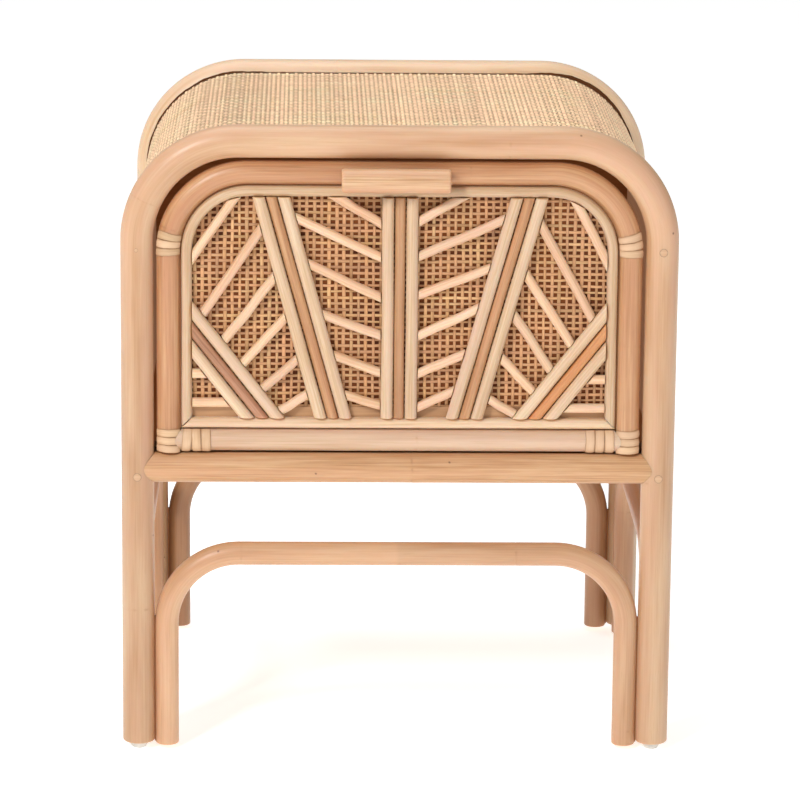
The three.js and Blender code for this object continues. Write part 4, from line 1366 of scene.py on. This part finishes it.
def build_sticks():
    shape = Shape()
    y = PATTERN_BACK + STICK_SINK - STICK_RADIUS

    def stick(name, middle, direction, zone, tones=(-0.8, 0.6), **more):
        pattern_pole(shape, middle, direction, y, STICK_RADIUS, name, zone,
                     tone=rng_for(name).uniform(*tones), sides=STICK_SIDES, **more)

    uneven = {"bow": 0.0006, "unevenness": STICK_UNEVENNESS}
    for side, hand in ((-1, "left"), (1, "right")):
        ray_point, _ = bundle_line(hand + "_ray")
        inner_zone = [lambda x, z, side=side: side * x >= BUNDLE_HALF + PATTERN_CLEARANCE,
                      beyond(hand + "_ray", False)]
        for k, (height, slope) in enumerate(INNER_STICKS[side]):
            slope = math.radians(slope)
            middle = (side * (BUNDLE_HALF + 0.009), height + 0.009 * math.tan(slope))
            stick(f"{hand}_inner_stick_{k}", middle, (side * math.cos(slope), math.sin(slope)),
                  inner_zone, **uneven)
        outer_zone = [beyond(hand + "_ray", True), beyond(hand + "_corner", False)]
        for k, (height, slope) in enumerate(OUTER_STICKS[side]):
            slope = math.radians(slope)
            direction = (side * math.cos(slope), -math.sin(slope))
            edge = ray_point[0] + side * (
                (height - ray_point[1]) * math.tan(RAY_TILT) + BUNDLE_HALF / math.cos(RAY_TILT))
            step = 0.042 if k == 0 else 0.014
            middle = (edge + direction[0] * step, height + direction[1] * step)
            stick(f"{hand}_outer_stick_{k}", middle, direction, outer_zone, **uneven)
        for k, height in enumerate(SHORT_STICKS[side]):
            stick(f"{hand}_short_stick_{k}", (side * (OPENING[0] - 0.003), height), (side, 0.0),
                  [beyond(hand + "_corner", True)], (-0.6, 0.8))
    shape.piece("pattern_sticks", "drawer", "light_cane", ["drawer_webbing"], [STICK, END])


build_bundles()
build_sticks()

# ------------------------------------------------------------------ bindings

# Section of a band of peel: across, as a share of half its width; height; how dark it is, a painted
# shade in the grooves between turns
PEEL_SECTION = (
    (-1.0, -0.6, 0.8), (-0.96, 0.25, 0.5), (-0.75, 0.72, 0.1), (-0.3, 0.95, 0.0),
    (0.3, 1.0, 0.0), (0.75, 0.7, 0.1), (0.96, 0.2, 0.5), (1.0, -0.6, 0.8),
)


def binding_band(shape, frames, radius, centre, width, rng, tone):
    """One turn of cane peel round the front of a pole. frames gives, for distances along the
    pole, the path's points, its outward direction and its front direction."""
    turns = np.linspace(-PEEL_REACH, PEEL_REACH, 33)
    lean = rng.normal(0, 0.00035)
    wave = 0.0002 * wander(turns, rng, 2.4)
    rings, grain = [], []
    offset = rng.uniform(0, 30)
    for across, height, _ in PEEL_SECTION:
        path = frames(centre + across * width / 2 + lean * turns + wave)
        lift = radius + PEEL_THICKNESS * (0.12 + 0.88 * (height + 0.6) / 1.6)
        spread = np.sin(turns)[:, None] * path.normals + np.cos(turns)[:, None] * path.fronts
        rings.append(path.points + lift * spread)
        grain.append(np.stack([turns * radius + offset, np.full_like(turns, across * width / 2 + offset),
                               np.zeros_like(turns)], -1))
    # Painted shade: the band's edges darken, in the grooves between turns
    marks = np.array([mark for _, _, mark in PEEL_SECTION])[None, :]
    shape.tube(np.stack(rings, 1), np.stack(grain, 1), tone, marks)


def binding(node, frames, radius, direction):
    """Turns of cane peel side by side, over the node's extent in one direction."""
    area = Box(node)
    low = area.low[direction]
    rng = rng_for(node)
    pitch = (area.high[direction] - low) / BINDING_TURNS
    shape = Shape()
    for k in range(BINDING_TURNS):
        centre = low + (k + 0.5) * pitch
        binding_band(shape, frames, radius, centre, pitch * 0.97, rng, rng.uniform(-0.7, 0.5))
    shape.piece(node + "_peel", "drawer", "cane_peel", [node], [PEEL], sharp=70)


def build_bindings():
    length = arch_length(*DRAWER_HOOP)
    foot = DRAWER_HOOP[2]

    def on_leg(side):
        def frames(along):
            travel = along - foot if side < 0 else length - (along - foot)
            path = arch_path(*DRAWER_HOOP, travel, y=DRAWER_Y)
            return Path(path.points, path.normals * side, path.fronts)
        return frames

    def on_rail(along):
        flat = np.zeros_like(along)
        points = np.stack([along, flat + DRAWER_Y, flat + DRAWER_RAIL_Z], -1)
        return Path(points, np.stack([flat, flat, flat + 1], -1), np.stack([flat, flat - 1, flat], -1))

    for hand, side in (("left", -1), ("right", 1)):
        for kind in ("upright", "corner"):
            binding(f"{hand}_{kind}_binding", on_leg(side), DRAWER_POLE_RADIUS, 2)
        binding(f"{hand}_rail_binding", on_rail, DRAWER_RAIL_RADIUS, 0)


build_bindings()

# ------------------------------------------------------------------ boards, kept from the CAD


def dress(node, material):
    """A CAD board keeps its shape, with a real material and slightly eased edges."""
    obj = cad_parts[node]
    obj.data.materials.clear()
    obj.data.materials.append(material)
    ease = obj.modifiers.new("eased_edges", "BEVEL")
    ease.width = BOARD_EDGE
    ease.segments = 2
    ease.limit_method = "ANGLE"


for material, nodes in (
    (SHELL_PLY, ["case_shell"]),
    (BACK_PLY, ["back_panel", "drawer_bottom"]),
    (FLOOR_PLY, ["floor_panel"]),
    (STAINED, ["drawer_front_panel"]),
    (BACK_WOOD, ["drawer_back"]),
    (SIDE_WOOD, ["left_runner", "right_runner", "left_drawer_stop", "right_drawer_stop",
                 "drawer_left_side", "drawer_right_side"]),
):
    for node in nodes:
        dress(node, material)
